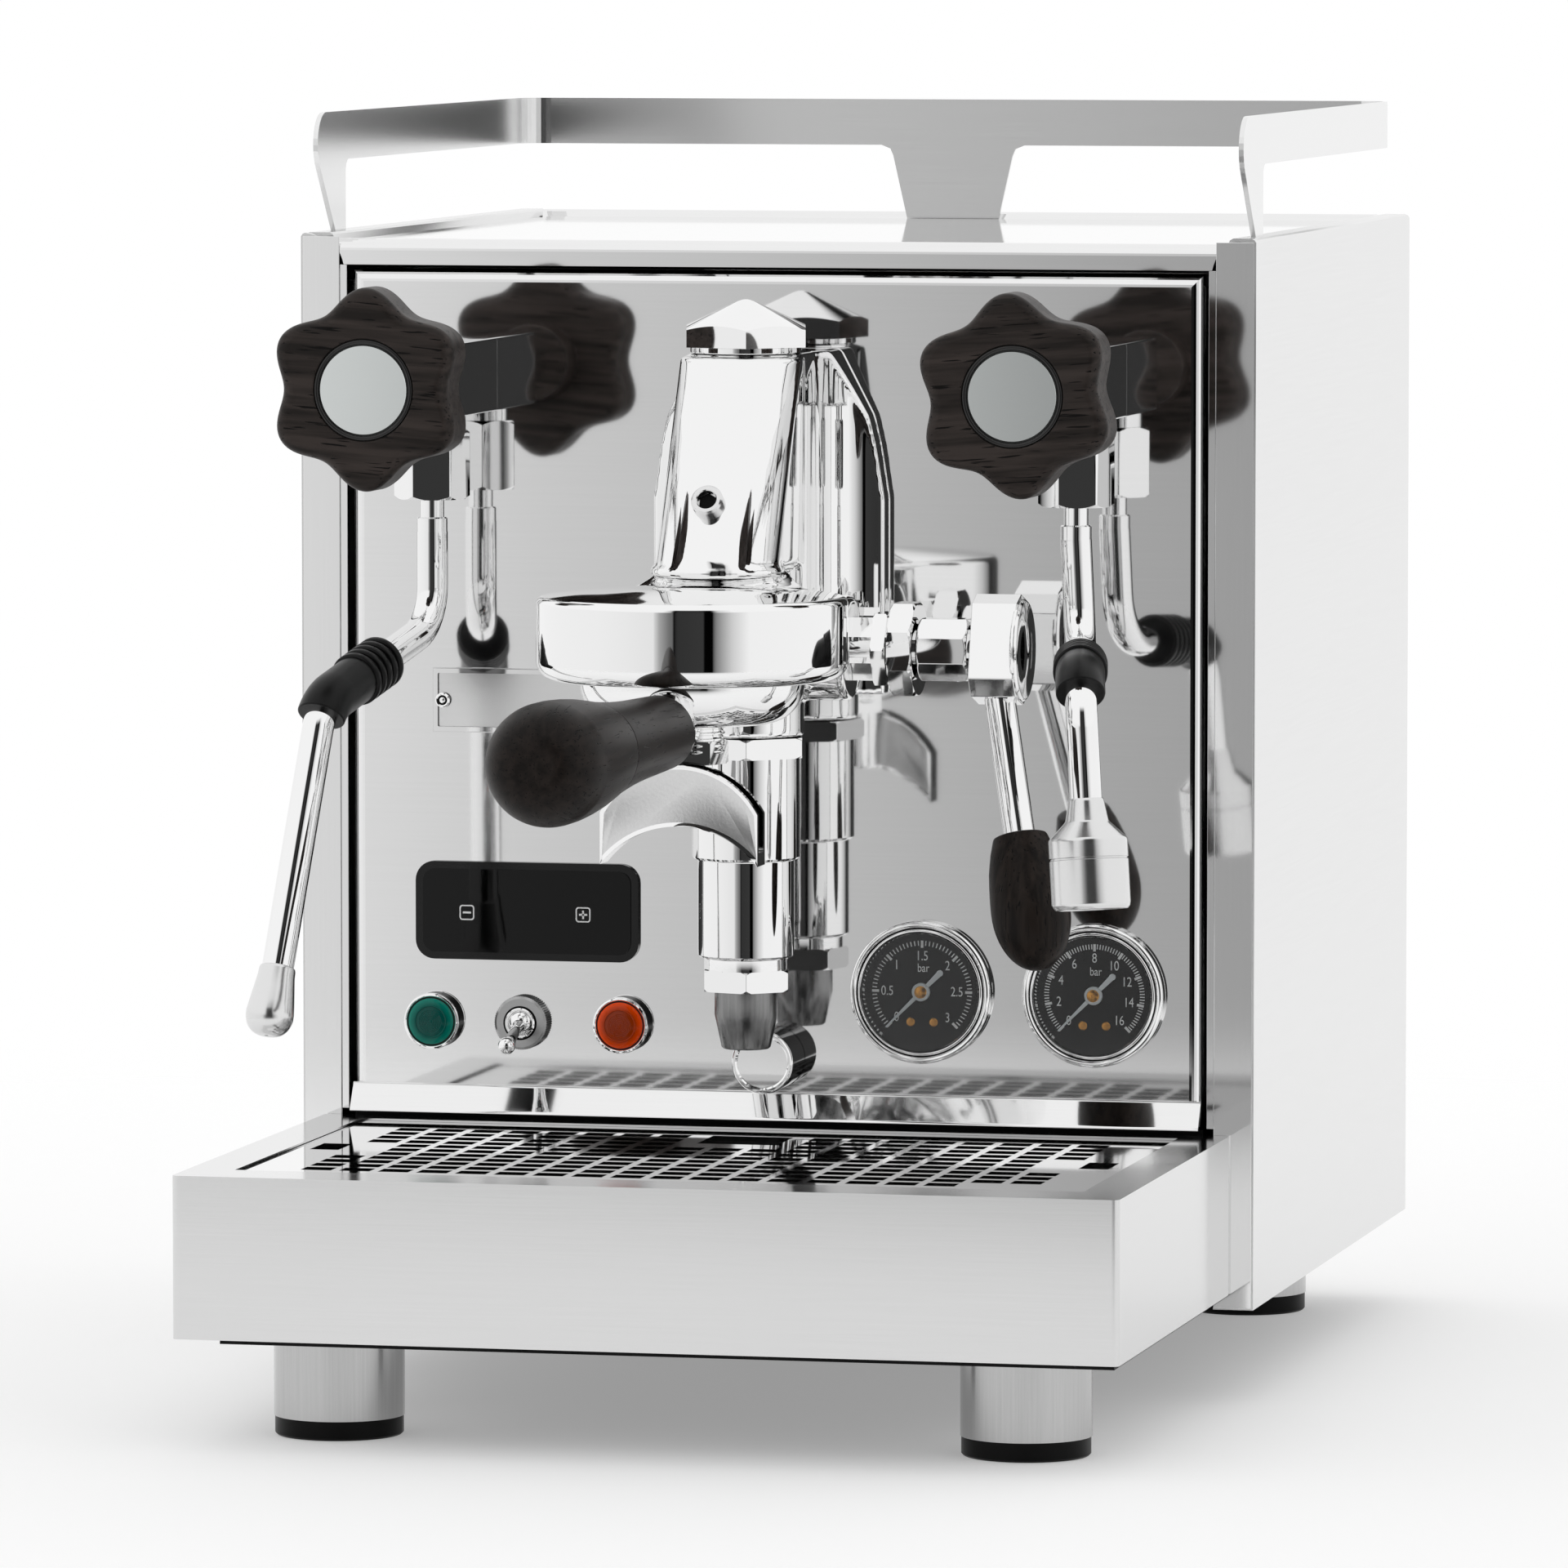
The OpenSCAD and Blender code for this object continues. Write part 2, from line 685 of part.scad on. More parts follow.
module cup_rail() color("silver") {
    leg_foot = rail_leg_rear - rail_leg;
    front_r = rail_bend;
    // band round the back and the sides
    difference() {
        translate([0, 0, rail_low])
        linear_extrude(rail_band)
        difference() {
            rail_plan(rail_x, rail_y, rail_bend);
            rail_plan(rail_x - sheet, rail_y - sheet, rail_bend - sheet);
        }
        box(-case_w, case_w, -case_d, front_r, rail_low - 1, rail_top + 1);
    }
    // side legs, rounded into the band
    for (s = [-1, 1])
        extrude_x(s > 0 ? rail_x - sheet : -rail_x, s > 0 ? rail_x : -rail_x + sheet) {
            hull() {
                translate([front_r, rail_top - front_r])
                circle(front_r, $fn = BEND_FN);
                translate([leg_foot, case_top])
                square([rail_leg, rail_rise]);
            }
            difference() {
                translate([rail_leg_rear - 1, rail_low - 4])
                square([5, 5]);
                translate([rail_leg_rear + 4, rail_low - 4])
                circle(4);
            }
        }
    // rear leg
    extrude_y(rail_y - sheet, rail_y)
    polygon(concat(
        [[-rear_leg_w / 2, plate_top + slit], [rear_leg_w / 2, plate_top + slit]],
        [[rear_leg_top_w / 2 - 1, rail_low - 3.5], [rear_leg_top_w / 2, rail_low - 1.2],
         [rear_leg_top_w / 2 + 3, rail_low], [rear_leg_top_w / 2 + 3, rail_low + 1]],
        [[-rear_leg_top_w / 2 - 3, rail_low + 1], [-rear_leg_top_w / 2 - 3, rail_low],
         [-rear_leg_top_w / 2, rail_low - 1.2], [-rear_leg_top_w / 2 + 1, rail_low - 3.5]]
    ));
}

module rail_plan(half_w, rear, r)
    hull()
    for (s = [-1, 1]) {
        translate([s * (half_w - r), rear - r])
        circle(r, $fn = BEND_FN);
        translate([s * (half_w - 1) - 1, 0])
        square([2, 1]);
    }

// ---- Drip tray --------------------------------------------------------------

module drip_tray() color("silver") {
    rear = -2 * tray_gap;
    basin_wall = 1.2;
    difference() {
        translate([0, (rear - tray_reach) / 2, tray_bottom])
        linear_extrude(tray_top - tray_bottom)
        rounded_rect(2 * tray_x, tray_reach + rear, 2);
        box(-tray_x + sheet, tray_x - sheet, -tray_reach + sheet, rear - sheet,
            tray_bottom + sheet, tray_top - sheet);
        box(-tray_inner_x, tray_inner_x, tray_y0, tray_y1, tray_top - 9, tray_top + 1);
    }
    // the folded wall and ledge that hold the grid
    difference() {
        box(-tray_inner_x - basin_wall, tray_inner_x + basin_wall, tray_y0 - basin_wall,
            tray_y1 + basin_wall, grid_bottom - 4, tray_top - 1);
        box(-tray_inner_x, tray_inner_x, tray_y0, tray_y1, grid_bottom - slit, tray_top);
        box(-tray_inner_x + 4, tray_inner_x - 4, tray_y0 + 4, tray_y1 - 4, grid_bottom - 5, tray_top);
    }
}

function rectangle(x0, y0, w, l) = [[x0, y0], [x0 + w, y0], [x0 + w, y0 + l], [x0, y0 + l]];

// The perforated plate: rows of slots, with a cutout under the exhaust nozzle.
module drip_grid() color("gainsboro") {
    y0 = tray_y0 + grid_gap;
    y1 = tray_y1 - grid_gap;
    first_x = -(slot_columns * slot_pitch_x - (slot_pitch_x - slot_w)) / 2;
    first_y = y1 - 6.5 - slot_l;
    cut_y = -28.4;
    cut_l = 22;
    notch_y = -92;
    cells = [
        for (i = [0:slot_columns - 1], j = [0:slot_rows - 1])
            let (x = first_x + i * slot_pitch_x, y = first_y - j * slot_pitch_y)
            let (near_cut = x < grid_cut_w + 3 && x + slot_w > -grid_cut_w - 3 && j < 4)
            let (near_notch = (i == 0 || i == slot_columns - 1) && y < notch_y + 20 && y + slot_l > notch_y - 3)
            let (corner = i > slot_columns - 3 && j == slot_rows - 1)
            if (!near_cut && !near_notch && !corner) rectangle(x, y, slot_w, slot_l),
    ];
    loops = concat(
        [rectangle(-grid_x, y0, 2 * grid_x, y1 - y0)],
        [rectangle(-grid_cut_w, cut_y - cut_l, 2 * grid_cut_w, cut_l)],
        [rectangle(-grid_x + 5, notch_y, 9, 17), rectangle(grid_x - 14, notch_y, 9, 17)],
        cells
    );
    translate([0, 0, grid_bottom])
    linear_extrude(sheet)
    polygon(
        points = [for (l = loops) each l],
        paths = [for (k = [0:len(loops) - 1]) [for (i = [0:3]) 4 * k + i]]
    );
}

// ---- Panel fittings ---------------------------------------------------------

module display_frame() color("black")
    difference() {
        union() {
            on_panel(-display_x, display_z)
            linear_extrude(1.6)
            rounded_rect(display_w, display_h, display_r);
            on_panel(-display_x, display_z, 6)
            linear_extrude(6)
            rounded_rect(display_w - 3, display_h - 3, display_r - 1.5);
        }
        on_panel(-display_x, display_z, 7)
        linear_extrude(10)
        rounded_rect(display_w - 5, display_h - 5, display_r - 2.5);
    }

module display_window() color("black")
    on_panel(-display_x, display_z, 4)
    linear_extrude(5)
    rounded_rect(display_w - 5 - 2 * slit, display_h - 5 - 2 * slit, display_r - 2.6);

module lamp_bezels() color("silver")
    for (x = [-green_x, -orange_x])
        on_panel(x, lamp_z)
        rotate_extrude()
        polygon([
            [lamp_r - 2.1, -12], [lamp_r - 1.75, -12], [lamp_r - 1.75, 0], [lamp_r, 0], [lamp_r, 0.8],
            [lamp_r - 0.5, 1.7], [lamp_r - 1.4, 2.2], [lamp_r - 2.1, 1.9],
        ]);

// Domed lens with concentric ribs.
module lens()
    rotate_extrude()
    polygon([
        [0, -6], [lamp_r - 2.15, -6], [lamp_r - 2.15, 2.1], [6.1, 2.8], [5.9, 2.4], [4.9, 3.1],
        [4.7, 2.7], [3.4, 3.6], [3.1, 3.1], [1.8, 3.8], [0, 4],
    ]);

module green_lens() color("seagreen")
    on_panel(-green_x, lamp_z)
    lens();

module orange_lens() color("orangered")
    on_panel(-orange_x, lamp_z)
    lens();

// Threaded bushing with a knurled ring nut and a funnel for the lever.
module switch_bushing() color("silver")
    difference() {
        union() {
            on_panel(-switch_x, lamp_z, 12)
            cylinder(r = 6, h = 18);
            on_panel(-switch_x, lamp_z)
            linear_extrude(2.6)
            difference() {
                circle(8.7);
                for (a = [0:15:345])
                    rotate(a)
                    translate([8.9, 0])
                    rotate(45)
                    square(1, center = true);
            }
        }
        on_panel(-switch_x, lamp_z)
        cylinder(r = 4.3, h = 4);
        on_panel(-switch_x, lamp_z, -3.9)
        cylinder(r1 = 4.3, r2 = 5.2, h = 3);
    }

module switch_lever() color("silver")
    translate([-switch_x, -pivot_out, lamp_z])
    rotate([90 + switch_travel / 2, 0, 0])
    rotate_extrude()
    polygon(concat(
        [[0, -2.9], [2.6, -2.9], [4, -1.2], [4, 0.2], [3.2, 1.6], [1.8, 2.4], [1.6, 5]],
        [[1.8, switch_l - 6]],
        arc([0, switch_l - 2.6], 2.6, -20, 90)
    ));

module gauge_places() {
    on_panel(boiler_gauge_x, gauge_z)
    children();
    on_panel(pump_gauge_x, gauge_z)
    children();
}

module gauge_cases() color("silver")
    gauge_places()
    rotate_extrude()
    polygon([
        [0, -30], [gauge_r - 2.5, -30], [gauge_r - 2.5, 0], [gauge_r, 0], [gauge_r, 1.6],
        [gauge_r - 0.8, 2.6], [gauge_r - 1.2, 4.6], [gauge_r - 2.6, 5.4], [gauge_r - 3.4, 4.6],
        [gauge_r - 3.4, -1], [0, -1],
    ]);

module gauge_dials() color("black")
    gauge_places()
    translate([0, 0, -1])
    tube_z(gauge_r - 3.6, 1.2, 1.2);

module gauge_glasses() color("lightcyan")
    gauge_places()
    translate([0, 0, 3.2])
    cylinder(r = gauge_r - 3.5, h = 1.2);

// A needle on its spindle, pointing to the lower left at rest.
module needle() color("ivory") {
    translate([0, 0, -0.95])
    cylinder(r = 1, h = 2);
    translate([0, 0, 1])
    cylinder(r = 2, h = 1.6);
    translate([0, 0, 1.2])
    linear_extrude(0.6)
    rotate(225)
    polygon(concat(
        [[0, -0.9], [15.5, -0.25], [15.5, 0.25], [0, 0.9], [-5, 0.7]],
        arc([-8, 0], 1.5, 30, 330),
        [[-5, -0.7]]
    ));
}

module boiler_needle()
    on_panel(boiler_gauge_x, gauge_z)
    needle();

module pump_needle()
    on_panel(pump_gauge_x, gauge_z)
    needle();

module badge_plate() color("gainsboro") {
    on_panel(-badge_x, badge_z)
    difference() {
        linear_extrude(1)
        square([badge_w, badge_h], center = true);
        translate([0, 0, 0.6])
        linear_extrude(1)
        square([badge_w - 3.4, badge_h - 3.4], center = true);
    }
    for (s = [-1, 1])
        on_panel(-badge_x + s * (badge_w / 2 - 3.4), badge_z, -0.5)
        cylinder(r1 = 1.7, r2 = 1.1, h = 0.9);
}

module drain_stub() color("silver")
    on_panel(0, drain_z)
    rotate_extrude()
    polygon([
        [0, -14], [drain_r, -14], [drain_r, drain_l - 1.2], [drain_r - 0.7, drain_l],
        [drain_r - 1.5, drain_l], [drain_r - 1.9, drain_l - 0.8], [0, drain_l - 0.8],
    ]);

// ---- Brew group -------------------------------------------------------------

module at_valve()
    translate([0, -valve_y, 0])
    children();

module at_bell()
    translate([0, -bell_y, 0])
    children();

// Places a turned part on the lever's axis: its +Z points right.
module on_lever_axis(x)
    translate([x, -lever_y, lever_z])
    rotate([0, 90, 0])
    children();

module group_body() color("silver")
    difference() {
        union() {
            wall_flange();
            column();
            bell();
            on_lever_axis(-20)
            cylinder(r = 16, h = boss_end + 20);
        }
        // bore for the cam shaft
        on_lever_axis(-14)
        cylinder(r = shaft_r + running_fit, h = boss_end + 20);
        bell_cavity();
    }

// The mounting flange with concave fillets that run out to it from the column.
module wall_flange() {
    flange_half = 36.3;
    fillet_r = 17.8;
    intersection() {
        extrude_y(-valve_y, 0)
        offset(r = 5)
        offset(delta = -5)
        polygon([
            [-flange_half, 216], [flange_half, 216], [flange_half, 276], [34, 291], [31.7, 301],
            [21, group_top], [-21, group_top], [-31.7, 301], [-34, 291], [-flange_half, 276],
        ]);
        translate([0, 0, 200])
        linear_extrude(group_top - 200)
        union()
        for (s = [0, 1])
            mirror([s, 0])
            polygon(concat(
                [[-1, -valve_y], [column_r, -valve_y], [18.2, -26]],
                arc([18.2 + fillet_r, -26], fillet_r, 180, 90),
                [[flange_half + 1, -8], [flange_half + 1, 0], [-1, 0]]
            ));
    }
}

// The column over the valves and the tube that leans out to the bell.
module column() {
    at_valve()
    translate([0, 0, column_bottom])
    cylinder(r = column_r, h = group_top - 1.5 - column_bottom);
    at_valve()
    translate([0, 0, group_top - 1.5])
    cylinder(r1 = column_r, r2 = column_r - 0.8, h = 1.5);
    intersection() {
        hull() {
            at_valve()
            translate([0, 0, bell_top])
            cylinder(r = column_r, h = group_top - 1 - bell_top, $fn = 48);
            along(tube_foot - tube_up * 6, tube_top)
            cylinder(r = front_tube_r, h = norm(tube_top - tube_foot) + 8, $fn = 48);
        }
        box(-40, 40, -bell_y, 0, neck_top, group_top - 1);
    }
    // bead at the tube's foot and the neck that stands on the bell
    translate([0, tube_foot[1], bell_top - 1])
    rotate_extrude()
    polygon([
        [0, 0], [14, 0], [15.6, 4], [18.8, 4.8], [20, 5.9], [20, 7.2], [19, 8.2], [0, 8.2],
    ]);
    // the bell's top rises towards the column
    intersection() {
        translate([0, bell_r - bell_y, bell_top - 0.6])
        rotate_extrude()
        polygon([[0, 0], [33, 0], [27, 1.3], [23, 3.6], [19.5, 7.4], [0, 7.4]]);
        translate([-40, -96, bell_top])
        rotate([flare_slope, 0, 0])
        translate([0, 0, -20])
        cube([80, 70, 20]);
        at_bell()
        translate([0, 0, bell_top - 2])
        cylinder(r = bell_r - 0.6, h = 20);
    }
    // the casting's lower link from the column to the bell
    box(-14, 14, bell_r - bell_y - 8, -valve_y, bell_bottom + 4, bell_top + 5);
}

module bell()
    at_bell()
    rotate_extrude()
    polygon(concat(
        [[0, bell_top + 2.6], [20, bell_top + 2.2], [36, bell_top + 0.9]],
        arc([bell_r - 2.5, bell_top - 2.5], 2.5, 80, 0, 5),
        arc([bell_r - 5.6, bell_bottom + 5.6], 5.6, 0, -88, 8),
        [[bell_bore, bell_bottom], [0, bell_bottom]]
    ));

module bell_cavity()
    at_bell() {
        // gasket seat round the boss of the shower screen
        translate([0, 0, groove_top])
        tube_z(bell_bore, basket_r, gasket_top - groove_top);
        translate([0, 0, groove_top - 1])
        cylinder(r = basket_r + 1, h = screen_top - groove_top + 1);
        // groove in which the portafilter's ears turn
        translate([0, 0, bell_bottom + lip_h_bell])
        cylinder(r = 40.5, h = groove_top - bell_bottom - lip_h_bell);
        translate([0, 0, bell_bottom - 1])
        cylinder(r = lip_bore, h = lip_h_bell + 2);
        // entry slots for the ears
        for (a = [-lock_turn, 180 - lock_turn])
            rotate(a)
            translate([0, 0, bell_bottom - 1])
            linear_extrude(lip_h_bell + 2)
            intersection() {
                circle(40.5);
                polygon([[0, 0], [60, -18], [60, 18]]);
            }
    }

// Hexagonal cap whose corners are cut by a cone.
module group_cap() color("silver")
    at_valve() {
        translate([0, 0, group_top + 1.9])
        rotate(-90 + 13)
        intersection() {
            hexagon(cap_af, 30);
            rotate_extrude()
            polygon([[0, 0], [23, 0], [23, 14.9 - 23 * tan(cap_slope)], [2, 14.9 - 2 * tan(cap_slope)],
                     [1, 14.3], [0, 14.4]]);
        }
        translate([0, 0, group_top])
        cylinder(r = column_r - 0.8, h = 2);
    }

// Socket screw that closes the port in the leaning tube.
module port_screw() color("silver") {
    seat = tube_foot + tube_up * 13.6 + tube_out * (front_tube_r + slit);
    along(seat, seat + tube_out)
    difference() {
        cylinder(r = 4.85, h = 4.2);
        translate([0, 0, 1.6])
        cylinder(r = 2.9, h = 3, $fn = 6);
    }
}

module group_gasket() color("black")
    at_bell()
    translate([0, 0, groove_top])
    tube_z(bell_bore - slit, basket_r + slit, gasket_top - groove_top);

module shower_screen() color("silver")
    at_bell()
    translate([0, 0, groove_top - 1.3])
    cylinder(r = basket_r - 0.6, h = screen_top - groove_top + 1.3);

// Infusion chamber under the column, with the exhaust nozzle screwed in below it.
module infusion_chamber() color("silver")
    at_valve()
    difference() {
        union() {
            translate([0, 0, hex_bottom])
            rotate(-90 + 13)
            hexagon(34, column_bottom - hex_bottom);
            translate([0, 0, chamber_bottom])
            cylinder(r = chamber_r, h = chamber_l);
            translate([0, 0, lower_bottom])
            cylinder(r = lower_r, h = lower_l + 0.8);
            translate([0, 0, lower_bottom - 3.8])
            cylinder(r = lower_r - 1.9, h = 3.8);
            translate([0, 0, lower_bottom - 10.3])
            rotate(-90 + 13)
            hexagon(25.5, 6.5);
            translate([0, 0, lower_bottom - 17.9])
            cylinder(r = 9.7, h = 8.4);
            translate([0, 0, lower_bottom - 28.2])
            cylinder(r1 = 7.3, r2 = 9.7, h = 10.3);
        }
        translate([0, 0, lower_bottom - 29])
        cylinder(r = 3, h = 24);
    }

// Gland nuts that hold the cam shaft in the casting's boss.
module shaft_nut() color("silver")
    on_lever_axis(boss_end)
    difference() {
        union() {
            rotate(22.5)
            cylinder(r = 10.4, h = 14, $fn = 8);
            translate([0, 0, 7.8])
            rotate(30)
            cylinder(r = 12.6, h = 4.3, $fn = 6);
            translate([0, 0, 13.3])
            intersection() {
                rotate(22.5)
                cylinder(r = 15.15, h = 7.3, $fn = 8);
                rotate_extrude()
                polygon([[0, 0], [14.2, 0], [15.2, 0.8], [15.2, 6.4], [13.9, 7.3], [0, 7.3]]);
            }
        }
        translate([0, 0, -1])
        cylinder(r = shaft_r + running_fit, h = 24);
    }

module cam_shaft() color("silver") {
    on_lever_axis(-13)
    cylinder(r = shaft_r, h = hub_x + 8 + 13);
    on_lever_axis(boss_end + 21.2)
    intersection() {
        rotate(22.5)
        cylinder(r = 10.15, h = 15.8, $fn = 8);
        rotate_extrude()
        polygon([[0, 0], [8.6, 0], [10.2, 1.4], [10.2, 14.4], [8.6, 15.8], [0, 15.8]]);
    }
}

module lever_hub() color("silver")
    difference() {
        union() {
            extrude_x(hub_x, hub_x + hub_w)
            translate([-lever_y, lever_z + 0.4])
            offset(r = 1.2)
            offset(delta = -1.2)
            polygon([
                [-12.5, -11.8], [-12.5, 11.8], [-6, hub_h / 2], [6, hub_h / 2],
                [12.5, 11.8], [12.5, -11.8], [6, -hub_h / 2], [-6, -hub_h / 2],
            ]);
            // domed disc on its outer end
            on_lever_axis(hub_x + hub_w - 0.6)
            rotate_extrude()
            polygon([[0, 0], [15, 0], [15.6, 0.5], [15.6, 1], [14.8, 1.7], [11, 2.1], [0, 2.3]]);
        }
        on_lever_axis(hub_x - 1)
        cylinder(r = shaft_r, h = 9);
        along(rod_start, rod_start + lever_dir)
        translate([0, 0, -6])
        cylinder(r = rod_r + 0.05, h = 14);
    }

module lever_rod() color("silver")
    along(rod_start, rod_start + lever_dir)
    translate([0, 0, -5.9])
    cylinder(r = rod_r, h = rod_l + 12);

module lever_grip() color("saddlebrown")
    along(rod_start, rod_start + lever_dir)
    translate([0, 0, rod_l])
    difference() {
        rotate_extrude()
        polygon(concat(
            [[0, 0], [7.4, 0], [8.4, 0.9], [9.7, 5], [11, 11], [grip_r - 0.3, 18]],
            [for (a = [0:10:90]) [grip_r * cos(a), grip_l - 18 + 18 * sin(a)]]
        ));
        translate([0, 0, -1])
        cylinder(r = rod_r + 0.05, h = 7.2);
    }

// ---- Portafilter ------------------------------------------------------------

// The bowl's radius at a depth below the bell's lower edge.
function bowl_radius(depth) = 22 + (ring_r - 0.8 - 22) * sqrt(max(0, 1 - pow(depth / bowl_h, 2)));

module basket() color("silver")
    at_bell()
    rotate_extrude()
    polygon([
        [0, bowl_bottom + 5], [24, bowl_bottom + 5], [26, bowl_bottom + 6.2],
        [basket_r + basket_wall, bowl_bottom + 14], [basket_r + basket_wall, ring_top + slit],
        [ring_r - 0.4, ring_top + slit], [ring_r - 0.4, ring_top + slit + basket_wall],
        [basket_r, ring_top + slit + basket_wall], [basket_r, bowl_bottom + 14.1],
        [25.5, bowl_bottom + 6.9], [24, bowl_bottom + 5 + basket_wall],
        [0, bowl_bottom + 5 + basket_wall],
    ]);

module portafilter_body() color("silver")
    at_bell()
    difference() {
        union() {
            rotate_extrude()
            polygon(concat(
                [[0, bowl_bottom]],
                [for (i = [10:-1:0]) [bowl_radius(bowl_h * i / 10), bell_bottom - bowl_h * i / 10]],
                [[ring_r, bell_bottom + 1], [ring_r, ring_top], [0, ring_top]]
            ));
            // ears that turn in the bell's groove
            translate([0, 0, bell_bottom + lip_h_bell + 0.3])
            linear_extrude(4.7)
            for (a = [0, 180])
                rotate(a)
                intersection() {
                    circle(40);
                    polygon([[0, 0], [60, -13], [60, 13]]);
                }
            // neck to the handle
            handle_axis()
            translate([0, 0, 18 - handle_start])
            cylinder(r1 = 7, r2 = 9.6, h = handle_start - 21);
            handle_axis()
            translate([0, 0, -3.2])
            cylinder(r = 10.6, h = 3.2);
        }
        rotate_extrude()
        polygon([
            [0, bowl_bottom + 2.5], [20, bowl_bottom + 2.5], [27.6, bowl_bottom + 6.5],
            [basket_r + 1.2, bowl_bottom + 13], [basket_r + 1.2, ring_top + 1], [0, ring_top + 1],
        ]);
        translate([0, 0, bowl_bottom - 1])
        cylinder(r = 4, h = 5);
    }

// Places the handle: +Z points out along it, from the ferrule.
module handle_axis()
    translate([0, 0, bowl_bottom - 0.2])
    rotate(-91)
    rotate([0, 90 + handle_droop, 0])
    translate([0, 0, handle_start])
    children();

module portafilter_handle() color("saddlebrown")
    at_bell()
    handle_axis()
    rotate_extrude()
    polygon(concat(
        [[0, 0], [10.8, 0], [11.2, 0.6], [11.6, 17], [12, 34], [12.9, 54], [14.7, 79]],
        [[14.4, 79.6], [15, 80.2], [15.9, 89], [16.8, 98], [17.5, 108], [handle_r, handle_l - 23]],
        [for (a = [0:15:75]) [handle_r * (0.32 + 0.68 * cos(a)), handle_l - 17.5 + 17.5 * sin(a)]],
        [[handle_r * 0.32, handle_l], [0, handle_l]]
    ));

// Crescent channel that parts the coffee into two streams, open along its top. It sits in
// front of a round boss that screws up under the bowl.
module double_spout() color("silver")
    at_bell()
    difference() {
        union() {
            difference() {
                extrude_y(-spout_front, spout_rear)
                crescent(0, 0);
                extrude_y(-spout_front + spout_wall, spout_rear - spout_wall)
                crescent(-20, 2.6);
                // the walls' faces lie below their borders
                extrude_y(-spout_front - 1, -spout_front + 0.7)
                spout_face();
                extrude_y(spout_rear - 0.7, spout_rear + 1)
                spout_face();
            }
            translate([0, 0, boss_low])
            cylinder(r = 9, h = bowl_bottom - boss_low);
            box(-7, 7, spout_rear - 1.5, 0, boss_low + 1.5, bowl_bottom - 14);
            translate([0, 0, bowl_bottom - 12.1])
            rotate(13)
            hexagon(18.6, 7);
            // thread above the nut
            for (z = [1, 2.8, 4.6])
                translate([0, 0, bowl_bottom - z])
                cylinder(r = 9.8, h = 1);
        }
        // the coffee's way down the boss and forward into the channel
        translate([0, 0, bowl_bottom - 24])
        cylinder(r = 3.5, h = 30);
        extrude_y(-spout_front + spout_wall + 1, 0)
        translate([0, bowl_bottom - 20.5])
        circle(3);
    }

module spout_face()
    intersection() {
        crescent(1.2, 4);
        square([2 * spout_w - 3, 600], center = true);
    }

// The spout's outline between two arcs, each moved in by a wall.
module crescent(outer_wall, inner_wall) {
    outer_r = 27.3;
    inner_r = 30.6;
    intersection() {
        difference() {
            translate([0, bowl_bottom - 38.8])
            circle(outer_r - outer_wall);
            translate([0, bowl_bottom - 60.2])
            circle(inner_r + inner_wall);
        }
        translate([-spout_w - max(0, -outer_wall), bowl_bottom - 60])
        square([2 * (spout_w + max(0, -outer_wall)), 100]);
    }
}

module both_sides()
    for (s = [-1, 1])
        translate([s * valve_x, 0, 0])
        children();

module valve_blocks() color("silver")
    for (side = [-1, 1])
        difference() {
            union() {
                on_panel(side * knob_x, valve_z)
                linear_extrude(block_front)
                rounded_rect(block_side, block_side, 1.2);
                on_panel(side * knob_x, valve_z, -block_front)
                cylinder(r = 9.5, h = bonnet_front - block_front);
                translate([side * valve_x, -swivel_y, nut_top])
                cylinder(r = 8.6, h = block_low - nut_top + 1);
            }
            on_panel(side * knob_x, valve_z, -16)
            cylinder(r = 5 + running_fit, h = 60);
        }

module valve_nuts() color("silver")
    both_sides()
    translate([0, -swivel_y, nut_bottom])
    difference() {
        rotate(-90 + 13 + 30)
        intersection() {
            hexagon(union_af, nut_top - nut_bottom);
            rotate_extrude()
            polygon([
                [0, 0], [union_af / 2, 0], [union_af / 2 + 1.6, 1.2],
                [union_af / 2 + 1.6, nut_top - nut_bottom - 1.2], [union_af / 2, nut_top - nut_bottom],
                [0, nut_top - nut_bottom],
            ]);
        }
        translate([0, 0, -1])
        cylinder(r = neck_r + running_fit, h = 30);
    }

module stem() color("silver")
    on_panel(0, valve_z, -18)
    cylinder(r = 5, h = knob_back + 12 - 18);

// The lobed outline's radius at an angle, with a lobe straight up.
function knob_radius(a) = knob_r - knob_valley * (0.5 - 0.5 * cos(6 * (a - 90)));

// Wooden knob with six lobes, its edges rounded front and back, with a hub behind.
module knob() {
    steps = 72;
    edge = 4;
    // [inset of the outline, height]
    sections = concat(
        [for (a = [90:-30:0]) [edge * (1 - cos(a)), edge * (1 - sin(a))]],
        [for (a = [0:30:90]) [edge * (1 - cos(a)), knob_d - edge * (1 - sin(a))]]
    );
    n = len(sections);
    difference() {
        polyhedron(
            points = concat(
                [for (s = sections, i = [0:steps - 1])
                    let (a = i * 360 / steps, r = knob_radius(a) - s[0])
                    [r * cos(a), r * sin(a), s[1]]]
            ),
            faces = concat(
                [[for (i = [0:steps - 1]) i]],
                [for (k = [0:n - 2], i = [0:steps - 1])
                    [k * steps + i, (k + 1) * steps + i, (k + 1) * steps + (i + 1) % steps, k * steps + (i + 1) % steps]],
                [[for (i = [steps - 1:-1:0]) (n - 1) * steps + i]]
            )
        );
        translate([0, 0, -1])
        cylinder(r = 5.05, h = 13.1);
        translate([0, 0, knob_d - 1.6])
        cylinder(r = disc_seat_r, h = 2);
    }
    translate([0, 0, hub_front - knob_back])
    tube_z(12, 5.05, knob_back - hub_front);
}

module knob_disc() color("silver")
    translate([0, 0, knob_d - 1.6])
    rotate_extrude()
    polygon([[0, 0], [disc_seat_r - slit, 0], [disc_seat_r - slit, 0.5], [13.7, 0.5], [13.5, 1.5], [0, 1.8]]);

